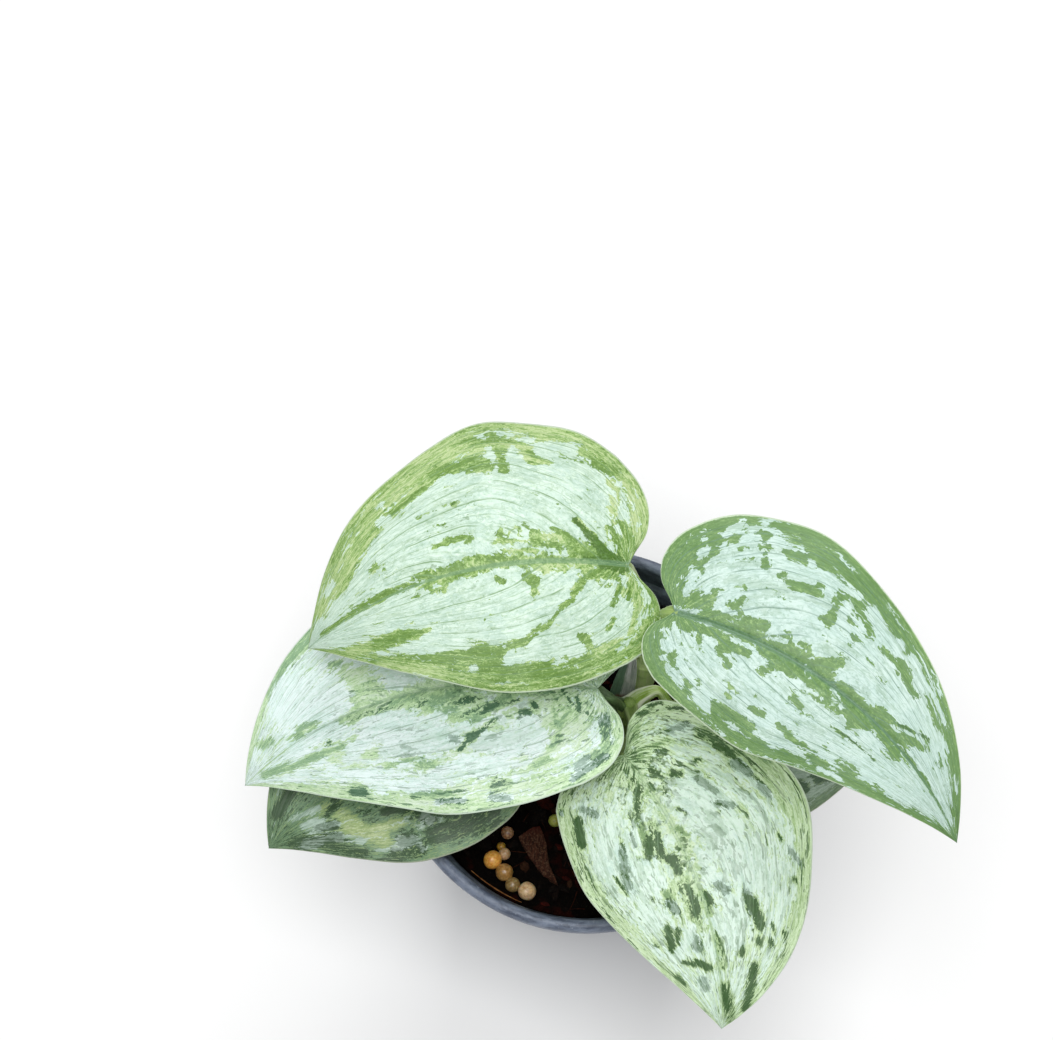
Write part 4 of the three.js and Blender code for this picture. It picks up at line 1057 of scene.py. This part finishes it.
def heartEdge(t, lobe, belly, peak):
    # a smooth curve through the outline's points, with a longer or shorter lobe and a fuller side
    points = np.array(heart)
    ends = np.vstack([2 * points[0] - points[1], points, 2 * points[-1] - points[-2]])
    x = np.clip(t, 0, 1) * (len(points) - 1)
    i = np.minimum(x.astype(int), len(points) - 2)
    f = (x - i)[..., None]
    a, b, c, d = ends[i], ends[i + 1], ends[i + 2], ends[i + 3]
    edge = 0.5 * (2 * b + (c - a) * f + (2 * a - 5 * b + 4 * c - d) * f ** 2
                  + (3 * b - a - 3 * c + d) * f ** 3)
    q = np.where(edge[..., 0] < 0, edge[..., 0] * lobe, edge[..., 0])
    fuller = 1 + peak * np.exp(-((q - 0.3) / 0.14) ** 2) - 1.6 * peak * np.exp(-((q + 0.05) / 0.1) ** 2)
    return q + belly * np.sin(np.pi * np.clip(q, 0, 1)), edge[..., 1] * fuller


def midribFrame(leaf, s):
    # centre and axes of the midrib, s millimetres from the sinus
    def direction(u):
        yaw = np.radians(leaf["heading"] + leaf["sweep"] * u ** 1.3)
        pitch = np.radians(leaf["pitch"] - leaf["droop"] * u ** 1.2)
        return yaw, np.stack([np.cos(yaw) * np.cos(pitch), np.sin(yaw) * np.cos(pitch), np.sin(pitch)], -1)
    steps = np.linspace(0, 1, 81)
    along = direction(steps)[1]
    hops = (along[1:] + along[:-1]) * 0.5 * leaf["length"] / 80
    spine = np.array(leaf["base"]) + np.vstack([[0, 0, 0], np.cumsum(hops, axis=0)])
    u = np.clip(s / leaf["length"], 0, 1)
    yaw, along = direction(u)
    centre = np.stack([np.interp(u, steps, spine[:, k]) for k in range(3)], -1)
    centre = centre + along * np.minimum(s, 0)[..., None]
    level = np.stack([-np.sin(yaw), np.cos(yaw), 0 * yaw], -1)
    up = np.cross(along, level)
    roll = math.radians(leaf["roll"])
    side = level * math.cos(roll) + up * math.sin(roll)
    normal = up * math.cos(roll) - level * math.sin(roll)
    return centre, along, side, normal


def bladePoint(leaf, s, w, relief=0):
    # each half is bent up at the midrib by the fold and curls down towards the edge by the cup
    centre, along, side, normal = midribFrame(leaf, s)
    half = np.where(w >= 0, leaf["left"], leaf["right"])
    reach = np.abs(w)
    fold = math.radians(leaf["fold"])
    bend = math.radians(leaf["cup"]) / half
    out = (math.sin(fold) - np.sin(fold - bend * reach)) / bend
    lift = (np.cos(fold - bend * reach) - math.cos(fold)) / bend
    phase = np.where(w > 0, 1.3, 0)
    ripple = leaf["wave"] * (reach / half) ** 2 * np.sin(6 * np.pi * s / leaf["length"] + phase)
    rise = lift + ripple + relief
    return centre + side * (np.sign(w) * out)[..., None] + normal * rise[..., None]


def veinShare(t, b):
    # the same all along a side vein: 1 at the tip, 0 at the sinus, less than 0 in the lobes
    return t - (1 + t) * (0.45 * b + 0.55 * b * b)


def markField(leaf, s, w, b):
    # silver, chlorophyll and dark at each point of the blade
    window, looks = leaf["window"], leaf["looks"]
    # before the strokes, silver lies between the midrib and the margin
    silver = smoothstep(*window["middle"], b) * (1 - smoothstep(*window["margin"], b))
    silver = silver * 1.6 - 0.7 + looks["bias"]
    chlorophyll = np.full_like(s, looks["chlorophyll"])
    dark = np.full_like(s, looks.get("dark", 0))
    for kind, s0, w0, s1, w1, radius in leaf["markings"]:
        run = np.array([s1 - s0, w1 - w0])
        share = np.clip(((s - s0) * run[0] + (w - w0) * run[1]) / max(run @ run, 1e-6), 0, 1)
        away = np.hypot(s - s0 - share * run[0], w - w0 - share * run[1])
        weight = np.minimum(1, 1.1 / (1 + np.exp((away - radius) / (0.14 + 0.15 * radius))))
        toSilver, toGreen, toDark = markingKinds[kind]
        silver = silver + (toSilver - silver) * weight
        if toGreen is not None:
            chlorophyll = chlorophyll + (toGreen - chlorophyll) * weight
        dark = dark + (toDark - dark) * weight
    return np.stack([silver, chlorophyll, dark], -1)


def leafPattern():
    # two layers as in the real leaf: green marbled with cream inside, and silver patches over the skin
    sockets = dict.fromkeys(["Place", "Flat", "Marks"], "vector")
    sockets.update(dict.fromkeys(["Patchiness", "Lace", "Softness", "Marbling", "Halftone", "Flecks", "Fan",
                                  "Veins", "Rib", "Seed"], "number"))
    sockets.update(dict.fromkeys(["Silver", "Bright", "Cream", "Lime", "Green", "Dark", "Edge", "Vein",
                                  "Midrib"], "colour"))
    graph, given, result = newGroup("satin variegation", sockets,
                                    {"Color": "colour", "Roughness": "number", "Height": "number"})
    times = graph.times
    share, t, b = graph.split(given["Place"])[:3]
    s, w = graph.split(given["Flat"])[:2]
    silver, chlorophyll, dark = graph.split(given["Marks"])[:3]
    seed, marbling, lace = given["Seed"], given["Marbling"], given["Lace"]

    def centred(value, amount):
        # noise from 0..1 to either side of nought
        return times(graph.math("SUBTRACT", value, 0.5), amount)

    # a map in millimetres, x across the side veins and y along them
    veinMap = graph.vector(times(share, 17), times(t, 60),
                           graph.math("MULTIPLY_ADD", b, 9, times(seed, 31)))
    flat = graph.plus(given["Flat"], graph.vector(0, 0, times(seed, 23)))
    wobble = graph.add("VectorMath", {0: graph.noise(flat, 0.6, 2, 0.5, "Color"), 1: (0.5, 0.5, 0.5)},
                       operation="SUBTRACT").outputs[0]
    warped = graph.plus(veinMap, graph.scaled(wobble, 3.2, 3.6, 2.0))
    eased = graph.plus(veinMap, graph.scaled(wobble, 0.9, 1.2, 0.6))

    def lot(vector):
        # a number from -0.5 to 0.5, the same all over a cell
        return centred(graph.split(graph.cells(vector)["Color"])[0], 1)

    # silver patches: blocky cells of three sizes, a cloud and a lace that break the edge of each marking
    jag = times(lot(graph.scaled(warped, 0.5, 0.28, 0.3)), 0.5)
    jag = graph.math("MULTIPLY_ADD", lot(graph.scaled(warped, 1.0, 0.46, 0.7)), 1.25, jag)
    jag = graph.math("MULTIPLY_ADD", lot(graph.scaled(warped, 2.2, 1.0, 1.5)), lace, jag)
    cloud = graph.noise(graph.scaled(veinMap, 0.5, 0.3, 0.4), 1, 5, times(lace, 0.75))
    web = graph.noise(graph.scaled(eased, 2.5, 1.1, 1.7), 1, 4, 0.7)
    jag = graph.sum(graph.math("MULTIPLY_ADD", centred(web, 2.6), lace, jag), centred(cloud, 1.4))
    fromSinus = graph.add("VectorMath", {0: given["Flat"]}, operation="LENGTH").outputs["Value"]
    near = times(graph.step(fromSinus, 15, 2), given["Fan"])
    field = graph.math("MULTIPLY_ADD", near, -0.9, silver)
    field = graph.math("MULTIPLY_ADD", jag, given["Patchiness"], field)
    patch = graph.step(field, times(given["Softness"], -1), given["Softness"])

    # marbling: streaks along the veins, speckle, grit, and thin pale lines that wander through the green
    streak = graph.noise(graph.plus(graph.scaled(veinMap, 1.35, 0.24, 0.7), wobble), 1, 4, 0.62)
    speckle = graph.noise(graph.scaled(warped, 1.9, 0.8, 1.2), 1, 3, 0.62)
    grit = graph.noise(graph.scaled(eased, 3.3, 1.7, 2.4), 1, 3, 0.7)
    worm = graph.noise(graph.scaled(warped, 1.1, 0.5, 0.8), 1, 2, 0.5)
    worm = graph.step(graph.math("ABSOLUTE", centred(worm, 1)), 0.035, 0.008)
    mixed = graph.sum(graph.sum(centred(streak, 3.0), centred(speckle, 2.4)), centred(grit, 2.2))
    mixed = graph.math("MULTIPLY_ADD", worm, -0.5, mixed)
    # the veins fan out of the sinus in darker and paler streaks
    fan = graph.noise(graph.vector(times(share, 34), times(t, 9), seed), 1, 3, 0.6)
    fan = times(centred(fan, 9.0), near)
    amount = graph.sum(graph.math("MULTIPLY_ADD", mixed, marbling, chlorophyll), fan)
    tone = graph.mix(graph.step(amount, 0.0, 0.5), given["Cream"], given["Lime"])
    tone = graph.mix(graph.step(amount, 0.45, 0.95), tone, given["Green"])
    deep = graph.math("MULTIPLY_ADD", mixed, 0.4, graph.math("MULTIPLY_ADD", fan, 0.5, dark))
    deep = graph.step(graph.math("MULTIPLY_ADD", jag, -0.17, deep), 0.42, 0.55)
    tone = graph.mix(deep, tone, given["Dark"])

    # silver is whiter over cream and greyer over dark green, thin in places, and its grain lets some through
    cover = graph.mix(graph.step(amount, 0.1, 0.7), given["Bright"], given["Silver"])
    tint = graph.noise(flat, 0.14, 3, 0.55)
    cover = graph.mix(graph.step(tint, 0.42, 0.62, 0, 0.5), cover, given["Bright"])
    thin = graph.noise(graph.plus(graph.scaled(veinMap, 0.7, 0.2, 0.4), wobble), 1, 5, 0.6)
    thin = times(graph.step(thin, 0.49, 0.6), given["Halftone"])
    cover = graph.mix(thin, cover, graph.mix(0.5, given["Silver"], given["Green"]))
    cover = graph.mix(times(deep, 0.55), cover, given["Dark"])
    grain = graph.noise(graph.scaled(veinMap, 2.4, 1.1, 1.7), 1, 4, 0.7)
    tone = graph.mix(times(patch, graph.step(grain, 0.3, 0.54, 0.82, 1.0)), tone, cover)

    # flecks of green along the veins, gathered in clumps, some of them faint
    clump = graph.step(graph.noise(graph.scaled(veinMap, 0.35, 0.14, 0.2), 1, 3, 0.6), 0.35, 0.7, 0.5, 1.15)
    least = graph.math("MULTIPLY_ADD", times(given["Flecks"], clump), -0.22, 0.78)
    fleck = graph.math("MAXIMUM", graph.noise(graph.scaled(eased, 2.0, 0.75, 1.2), 1, 2, 0.45),
                       graph.noise(graph.scaled(eased, 0.95, 0.42, 0.7), 1, 3, 0.5))
    fleck = graph.step(graph.math("SUBTRACT", fleck, least), -0.012, 0.02)
    faint = graph.step(graph.noise(graph.scaled(veinMap, 0.9, 0.4, 0.3), 1, 2), 0.38, 0.62, 0.5, 1.0)
    faint = times(faint, graph.step(patch, 0, 1, 1, 0.5))
    tone = graph.mix(times(fleck, faint), tone, graph.mix(0.85, given["Green"], given["Dark"]))

    # hairline side veins, the stronger ones few, fading in and out, and a fine net between them
    drift = centred(graph.noise(flat, 0.07, 2), 0.12)
    fade = graph.step(graph.noise(flat, 0.2, 3), 0.3, 0.58)
    inside = graph.step(graph.math("ABSOLUTE", b), 0.97, 0.9)
    lines = 0
    for perShare, width, strength in ((6, 0.05, 1.0), (15, 0.08, 0.45)):
        at = times(graph.sum(share, drift), perShare)
        gap = graph.add("TexVoronoi", {"W": at, "Scale": 1.0}, voronoi_dimensions="1D",
                        feature="DISTANCE_TO_EDGE").outputs["Distance"]
        lines = graph.math("MAXIMUM", times(graph.step(gap, width, width * 0.3), strength), lines)
    lines = times(lines, fade)
    net = graph.cells(graph.scaled(warped, 0.6, 0.3, 0.3), feature="DISTANCE_TO_EDGE")["Distance"]
    lines = graph.math("MAXIMUM", lines, graph.step(net, 0.05, 0.01, 0, 0.3))
    tone = graph.mix(times(times(lines, inside), given["Veins"]), tone, given["Vein"])

    # midrib, painted shade along it, grain and the pale rim
    away = graph.math("MULTIPLY_ADD", centred(grain, 1), 0.4, graph.math("ABSOLUTE", w))
    reach = graph.step(t, 0.95, 0.3, 0.2, 0.72)
    rib = times(graph.step(graph.math("SUBTRACT", away, reach), 0.1, -0.2), given["Rib"])
    tone = graph.mix(rib, tone, given["Midrib"])
    # painted shade: thin darker lines along both edges of the midrib band, fading out towards the tip
    side = times(graph.step(graph.away(away, reach), 0.16, 0.03), graph.step(t, 1.0, 0.7, 0, 0.4))
    tone = graph.mix(side, tone, given["Vein"])
    # painted shade: the middle of the midrib groove is darkened, fading out towards the tip
    crease = times(graph.step(graph.math("ABSOLUTE", w), 0.3, 0.08), graph.step(t, 1.0, 0.8, 0, 0.5))
    tone = graph.mix(crease, tone, given["Vein"])
    shade = graph.mix(graph.step(grain, 0.32, 0.68), (0.36, 0.36, 0.36, 1), (0.62, 0.62, 0.62, 1))
    tone = graph.mix(0.85, tone, shade, "SOFT_LIGHT")
    rim = graph.math("MULTIPLY_ADD", centred(speckle, 1), 0.02, graph.math("ABSOLUTE", b))
    rim = graph.step(rim, 0.984, 0.994)
    tone = graph.mix(rim, tone, given["Edge"])

    graph.feed(result["Color"], tone)
    graph.feed(result["Roughness"], graph.sum(graph.step(patch, 0, 1, 0.42, 0.47), centred(grain, 0.14)))
    height = graph.math("MULTIPLY_ADD", patch, 0.12, times(grain, 0.45))
    graph.feed(result["Height"], graph.math("MULTIPLY_ADD", lines, -0.3, height))
    return graph.tree


satinVariegation = leafPattern()


def bladeMaterial(name, leaf):
    material, graph, shader = newMaterial(f"blade {name}", Specular_IOR_Level=0.32)
    looks, palette = leaf["looks"], leaf["palette"]
    inMarks = ("bias", "chlorophyll", "dark")
    given = {key.capitalize(): value for key, value in looks.items() if key not in inMarks}
    given.update({key.capitalize(): paint(code) for key, code in palette.items()})
    given.update({"Place": graph.place("place"), "Flat": graph.place("flat"), "Marks": graph.place("marks"),
                  "Seed": leaf["seed"]})
    out = graph.use(satinVariegation, given)
    graph.feed(shader.inputs["Base Color"], out["Color"])
    graph.feed(shader.inputs["Roughness"], out["Roughness"])
    addBump(graph, shader, out["Height"], bladeMesh["relief"] * mm, 0.6)
    return material


def undersideMaterial(name):
    material, graph, shader = newMaterial(f"underside {name}", Roughness=0.5, Specular_IOR_Level=0.3)
    share, t, b = graph.split(graph.place("place"))[:3]
    flat = graph.place("flat")
    w = graph.split(flat)[1]
    cloud = graph.noise(flat, 0.12, 4, 0.6)
    streak = graph.noise(graph.vector(graph.times(share, 26), graph.times(t, 9), b), 1, 4)
    tone = graph.blend(cloud, 0.35, 0.68, underside["cloud"])
    tone = graph.dab(tone, underside["streak"], streak, 0.45, 0.7, 0.5)
    tone = graph.dab(tone, underside["rib"], graph.math("ABSOLUTE", w), 1.1, 0.4)
    graph.feed(shader.inputs["Base Color"], tone)
    lines = graph.add("TexVoronoi", {"W": graph.times(share, underside["veins"]), "Scale": 1.0},
                      voronoi_dimensions="1D", feature="DISTANCE_TO_EDGE").outputs["Distance"]
    addBump(graph, shader, graph.sum(graph.step(lines, 0.16, 0, 0, 0.6), streak), 0.0002, 0.7)
    return material


def makeBlade(name, leaf):
    rows, columns = bladeMesh["along"], bladeMesh["across"]
    deselectAll()
    bpy.ops.mesh.primitive_grid_add(x_subdivisions=rows, y_subdivisions=columns, size=2)
    piece = bpy.context.object
    grid = getPoints(piece)
    t = (grid[:, 0] + 1) / 2
    signed = grid[:, 1]
    b = np.abs(signed)
    onLeft = signed >= 0
    qLeft, acrossLeft = heartEdge(t, leaf["lobes"][0], leaf["belly"][0], leaf["peak"][0])
    qRight, acrossRight = heartEdge(t, leaf["lobes"][1], leaf["belly"][1], leaf["peak"][1])
    q, edgeAcross = np.where(onLeft, (qLeft, acrossLeft), (qRight, acrossRight))
    half = np.where(onLeft, leaf["left"], leaf["right"])
    s = leaf["length"] * (t ** 1.4 + (q - t ** 1.4) * b)
    w = np.sign(signed) * b * half * edgeAcross
    share = veinShare(t, b)

    # relief: the midrib lies in a groove, and the blade is quilted between the main side veins
    awayFromEnds = smoothstep(0, 0.12, t) * smoothstep(1, 0.9, t)
    groove = -bladeMesh["grooveDepth"] * np.exp(-(w / bladeMesh["grooveWidth"]) ** 2) * smoothstep(1, 0.8, t)
    beat = share * bladeMesh["pleats"] + 0.25 * np.sin(share * 9 + leaf["seed"])
    pleat = bladeMesh["pleatDepth"] * np.abs(np.sin(np.pi * beat)) ** 0.7
    pleat = pleat * awayFromEnds * smoothstep(0, 0.12, b)
    flatPoints = np.stack([s, w, np.full_like(s, leaf["seed"] * 11)], 1)
    waver = wander(flatPoints, 0.05, leaf["seed"]) * 0.7 * smoothstep(0, 0.5, b)
    waver = waver + wander(flatPoints, 0.16, 3) * 0.12
    points = bladePoint(leaf, s, w, groove + pleat + waver * awayFromEnds)
    setPoints(piece, points * mm)

    addAttribute(piece, "place", np.stack([share, t, signed], 1))
    addAttribute(piece, "flat", np.stack([s, w, 0 * s], 1))
    addAttribute(piece, "marks", markField(leaf, s, w, b))
    editAll(piece)
    bpy.ops.mesh.remove_doubles(threshold=0.00001)
    bpy.ops.object.mode_set(mode="OBJECT")

    # the blade thins towards its margin
    thin = piece.vertex_groups.new(name="thickness")
    places = np.empty(len(piece.data.vertices) * 3)
    piece.data.attributes["place"].data.foreach_get("vector", places)
    thick = 1 - bladeMesh["thinnedEdge"] * smoothstep(0.8, 1, np.abs(places.reshape(-1, 3)[:, 2]))
    for number, weight in enumerate(thick):
        thin.add([number], float(weight), "REPLACE")
    shell = piece.modifiers.new("thickness", "SOLIDIFY")
    shell.thickness = bladeMesh["thickness"] * mm
    shell.offset = 0
    shell.vertex_group = "thickness"
    shell.material_offset = 1
    piece.data.materials.append(bladeMaterial(name, leaf))
    piece.data.materials.append(undersideMaterial(name))
    applyModifiers(piece)
    smoothShade(piece)
    return settle(piece, f"blade_{name}", leaf["slot"], f"leaf_blade_{name}")


for leafName, leafValues in leaves.items():
    makeBlade(leafName, leafValues)
    print("blade:", leafName)


# Stems and petioles

# the pale tone also paints the highlight along the wing ridges
stems = {  # the tones: skin, pale wing and shade
    # painted light: the back stem's tones are far paler than the front stem's, to make up for the shade it
    # stands in
    "back": {"foot": (14, 12.5), "route": [(13.8, 12.7, 74), (13.3, 13.8, 87), (12.8, 14.6, 98)],
             "radii": (2.3, 1.9), "nodes": (78, 89, 97), "tones": ("#d8f0a0", "#ecf8c4", "#b8d484")},
    "front": {"foot": (9.2, 5.6), "route": [(9.3, 5.6, 73), (9.6, 5.3, 80), (9.8, 5, 86.5)],
              "radii": (2.7, 2), "nodes": (74, 80.5), "tones": ("#86a154", "#a9c073", "#6a8446")},
}
stemShape = {"bottom": 42.6, "sides": 32, "rings": 110, "swelling": 0.35, "ring": 0.16, "tip": 0.22}
petioles = {  # the same tones, and the colour of the scar at the foot if it has one
    "back": {"route": [(13.2, 14, 87.5), (12.8, 18.2, 95), (11, 23.2, 109)], "radii": (1.9, 1.25),
             "tones": ("#93a862", "#b4c388", "#78904e")},
    "left": {"route": [(9.4, 5.4, 81), (6.8, 4.4, 88.5)], "radii": (1.5, 1.15),
             "tones": ("#435c37", "#6c8658", "#314627"), "scar": "#8a4638"},
    "low_left": {"route": [(9.4, 5.5, 75), (2, 5, 77.5), (-9, 2.6, 81.5), (-17, 0.4, 84.5)],
                 "radii": (1.7, 1.1), "tones": ("#6f8758", "#93a878", "#556c44")},
    "front": {"route": [(9.9, 5, 83.5), (10.4, 0.2, 88), (9.3, -5, 93.5)], "radii": (1.8, 1.2),
              "tones": ("#748c4a", "#a3b77a", "#5a723c")},
    "right": {"route": [(12.9, 14.5, 97.2), (15.2, 14.6, 105), (18, 14.2, 115)], "radii": (2, 1.3),
              "tones": ("#8fab5c", "#b6c98a", "#6f8c44")},
    # the stub's pale tone is near white for the painted highlight along its wings
    "low_right": {"route": [(10.4, 5.6, 82), (12.8, 7, 85), (16.2, 7.6, 86.6)], "radii": (2.7, 1.2),
                  "tones": ("#9aba4c", "#eef2dc", "#7a9c30")},
}
petioleShape = {"sides": 28, "rings": 90, "knee": 0.22, "tip": 0.38, "groove": 0.16, "ridge": 0.04,
                "wingGroove": 0.22, "wingRidge": 0.2}


def stemMaterial(name, tones, scar=None):
    # skin with fine lines along it and specks, and a painted highlight: the pale tone along the two wing
    # ridges on top, in the lower half
    base, pale, deep = tones
    material, graph, shader = newMaterial(name, Roughness=0.36, Specular_IOR_Level=0.42)
    along, around = graph.split(graph.place("way"))[:2]
    point = graph.objectPoint()
    lines = graph.noise(graph.vector(graph.times(along, 3), graph.times(around, 9), 0), 1, 4, 0.6)
    cloud = graph.noise(point, 0.35, 3)
    speck = graph.noise(point, 2.6, 3, 0.6)
    tone = graph.dab(paint(base), pale, lines, 0.4, 0.66, 0.55)
    tone = graph.dab(tone, deep, cloud, 0.45, 0.68, 0.7)
    tone = graph.dab(tone, pale, speck, 0.6, 0.72, 0.5)
    # painted highlight: pale stripes on the ridges either side of the top
    offWing = graph.away(graph.away(around, 0.5), 0.27)
    wing = graph.times(graph.step(offWing, 0.11, 0.04), graph.step(along, 0.5, 0.3))
    tone = graph.mix(wing, tone, paint(pale))
    if scar:
        tone = graph.dab(tone, scar, graph.sum(along, graph.times(lines, 0.12)), 0.17, 0.13)
    graph.feed(shader.inputs["Base Color"], tone)
    graph.feed(shader.inputs["Roughness"], graph.step(speck, 0.3, 0.7, 0.3, 0.44))
    addBump(graph, shader, graph.sum(lines, graph.times(speck, 0.3)), 0.0002, 0.6)
    return material


def makeStem(name, stem):
    shape = stemShape
    buried = [(*stem["foot"], shape["bottom"]), (*stem["foot"], soil["level"] - 4)]
    path = pathThrough(buried + stem["route"], shape["rings"])

    def radiusAt(u, angle, centre):
        radius = stem["radii"][0] + (stem["radii"][1] - stem["radii"][0]) * u
        for z in stem["nodes"]:
            radius += shape["swelling"] * math.exp(-((centre[2] - z) / 1.4) ** 2)    # swollen node
            radius -= shape["ring"] * math.exp(-((centre[2] - z - 0.9) / 0.22) ** 2)  # ring scar over it
        closing = math.sqrt(min(1, (1 - u) / 0.05))
        radius *= shape["tip"] + (1 - shape["tip"]) * closing
        return radius * (1 + 0.03 * math.sin(5 * angle) * u)

    piece = layAlong(tower(shape["sides"], shape["rings"]), path, radiusAt, (0, 1, 0))
    piece.data.materials.append(stemMaterial(f"stem skin {name}", stem["tones"]))
    smoothShade(piece)
    return settle(piece, f"stem_{name}", "stem_green", f"vine_stem_{name}")


def makePetiole(name, petiole):
    # it leaves the stem along its route and comes up under the sinus of its leaf
    shape = petioleShape
    centre, along, side, normal = midribFrame(leaves[name], np.array(0.0))
    tangent = 0.8 * normal + 0.6 * along
    end = centre - normal * 0.25 + along * 0.9
    before = centre - normal * 1.4 - tangent * 4
    route = [np.array(p, float) for p in petiole["route"]] + [before, end]
    path = pathThrough(route, shape["rings"])
    r0, r1 = petiole["radii"]

    def radiusAt(u, angle, centre):
        radius = r0 + (r1 - r0) * min(1, 2.2 * u)
        radius += shape["knee"] * math.exp(-((u - 0.93) / 0.05) ** 2)  # the knee under the blade
        radius *= 1 - (1 - shape["tip"]) * max(0, (u - 0.955) / 0.045) ** 2
        top = angle - math.pi / 2
        top = math.atan2(math.sin(top), math.cos(top))
        wing = max(0, 1 - 2.4 * u)
        groove = (shape["groove"] + shape["wingGroove"] * wing) * math.exp(-(top / 0.42) ** 2)
        ridge = (shape["ridge"] + shape["wingRidge"] * wing) * math.exp(-((abs(top) - 0.85) / 0.28) ** 2)
        return radius * (1 - groove + ridge)

    piece = layAlong(tower(shape["sides"], shape["rings"]), path, radiusAt)
    skin = stemMaterial(f"petiole skin {name}", petiole["tones"], petiole.get("scar"))
    piece.data.materials.append(skin)
    smoothShade(piece)
    return settle(piece, f"petiole_skin_{name}", "petiole_green", f"petiole_{name}")


for stemName, stemValues in stems.items():
    makeStem(stemName, stemValues)
for petioleName, petioleValues in petioles.items():
    makePetiole(petioleName, petioleValues)
print("stems and petioles")


# Papery dried sheath behind the front stem

sheath = {
    "foot": (8, 9.1, 77.5), "top": (9.4, 12, 98.5), "width": 5.6, "hollow": 0.9, "thickness": 0.22,
    "narrowing": 0.55, "along": 60, "across": 24,
    # the green is painted shade on the sheath's shadowed side
    "colours": {"fibre": ("#a5aea8", "#dfe2dd"), "blotch": "#d2d2cf", "green": "#5f8468", "streak": "#e8e6ea",
                "foot": "#8a4a38"},
}


def sheathMaterial():
    material, graph, shader = newMaterial("dried sheath", Roughness=0.7, Specular_IOR_Level=0.3)
    colours = sheath["colours"]
    along, around = graph.split(graph.place("way"))[:2]
    fibre = graph.noise(graph.vector(graph.times(along, 2.5), graph.times(around, 11), 0), 1, 5, 0.65)
    blotch = graph.noise(graph.objectPoint(), 0.4, 3)
    tone = graph.blend(fibre, 0.36, 0.68, colours["fibre"])
    tone = graph.dab(tone, colours["blotch"], blotch, 0.52, 0.7, 0.8)
    # painted shade: one side is coloured dark green where the sheath is in shadow, and the foot is reddish
    shadedSide = graph.math("MULTIPLY_ADD", fibre, 0.5, around)
    tone = graph.dab(tone, colours["green"], shadedSide, 0.36, 0.12, 0.9)
    streak = graph.step(graph.away(around, 0.3), 0.28, 0.1)
    streak = graph.times(streak, graph.step(along, 0.35, 0.6, 0, 0.85))
    tone = graph.mix(streak, tone, paint(colours["streak"]))
    red = graph.times(graph.step(along, 0.12, 0.0), 0.8)
    graph.feed(shader.inputs["Base Color"], graph.mix(red, tone, paint(colours["foot"])))
    addBump(graph, shader, fibre, 0.0003, 0.8)
    return material


def makeSheath():
    deselectAll()
    bpy.ops.mesh.primitive_grid_add(x_subdivisions=sheath["along"], y_subdivisions=sheath["across"], size=2)
    piece = bpy.context.object
    grid = getPoints(piece)
    u, v = (grid[:, 0] + 1) / 2, -grid[:, 1]
    foot, top = np.array(sheath["foot"]), np.array(sheath["top"])
    centre = foot + (top - foot) * u[:, None]
    half = 0.5 * sheath["width"] * (1 - sheath["narrowing"] * u * u)
    crease = 0.16 * np.sin(14 * v + 3 * u) * u + 0.22 * wander(np.stack([u * 9, v * 3, 0 * u], 1), 1, 9)
    ragged = 0.5 * wander(np.stack([v * 5, 0 * u, 0 * u], 1), 1, 4) * smoothstep(0.8, 1, u)
    points = centre + np.stack([half * v, -sheath["hollow"] * v * v + crease, ragged], 1)
    setPoints(piece, points * mm)
    addAttribute(piece, "way", np.stack([u, v, 0 * u], 1))
    shell = piece.modifiers.new("thickness", "SOLIDIFY")
    shell.thickness = sheath["thickness"] * mm
    shell.offset = 0
    applyModifiers(piece)
    piece.data.materials.append(sheathMaterial())
    smoothShade(piece)
    return settle(piece, "dried_sheath_paper", "sheath_brown", "dried_sheath")


makeSheath()
print("dried sheath")
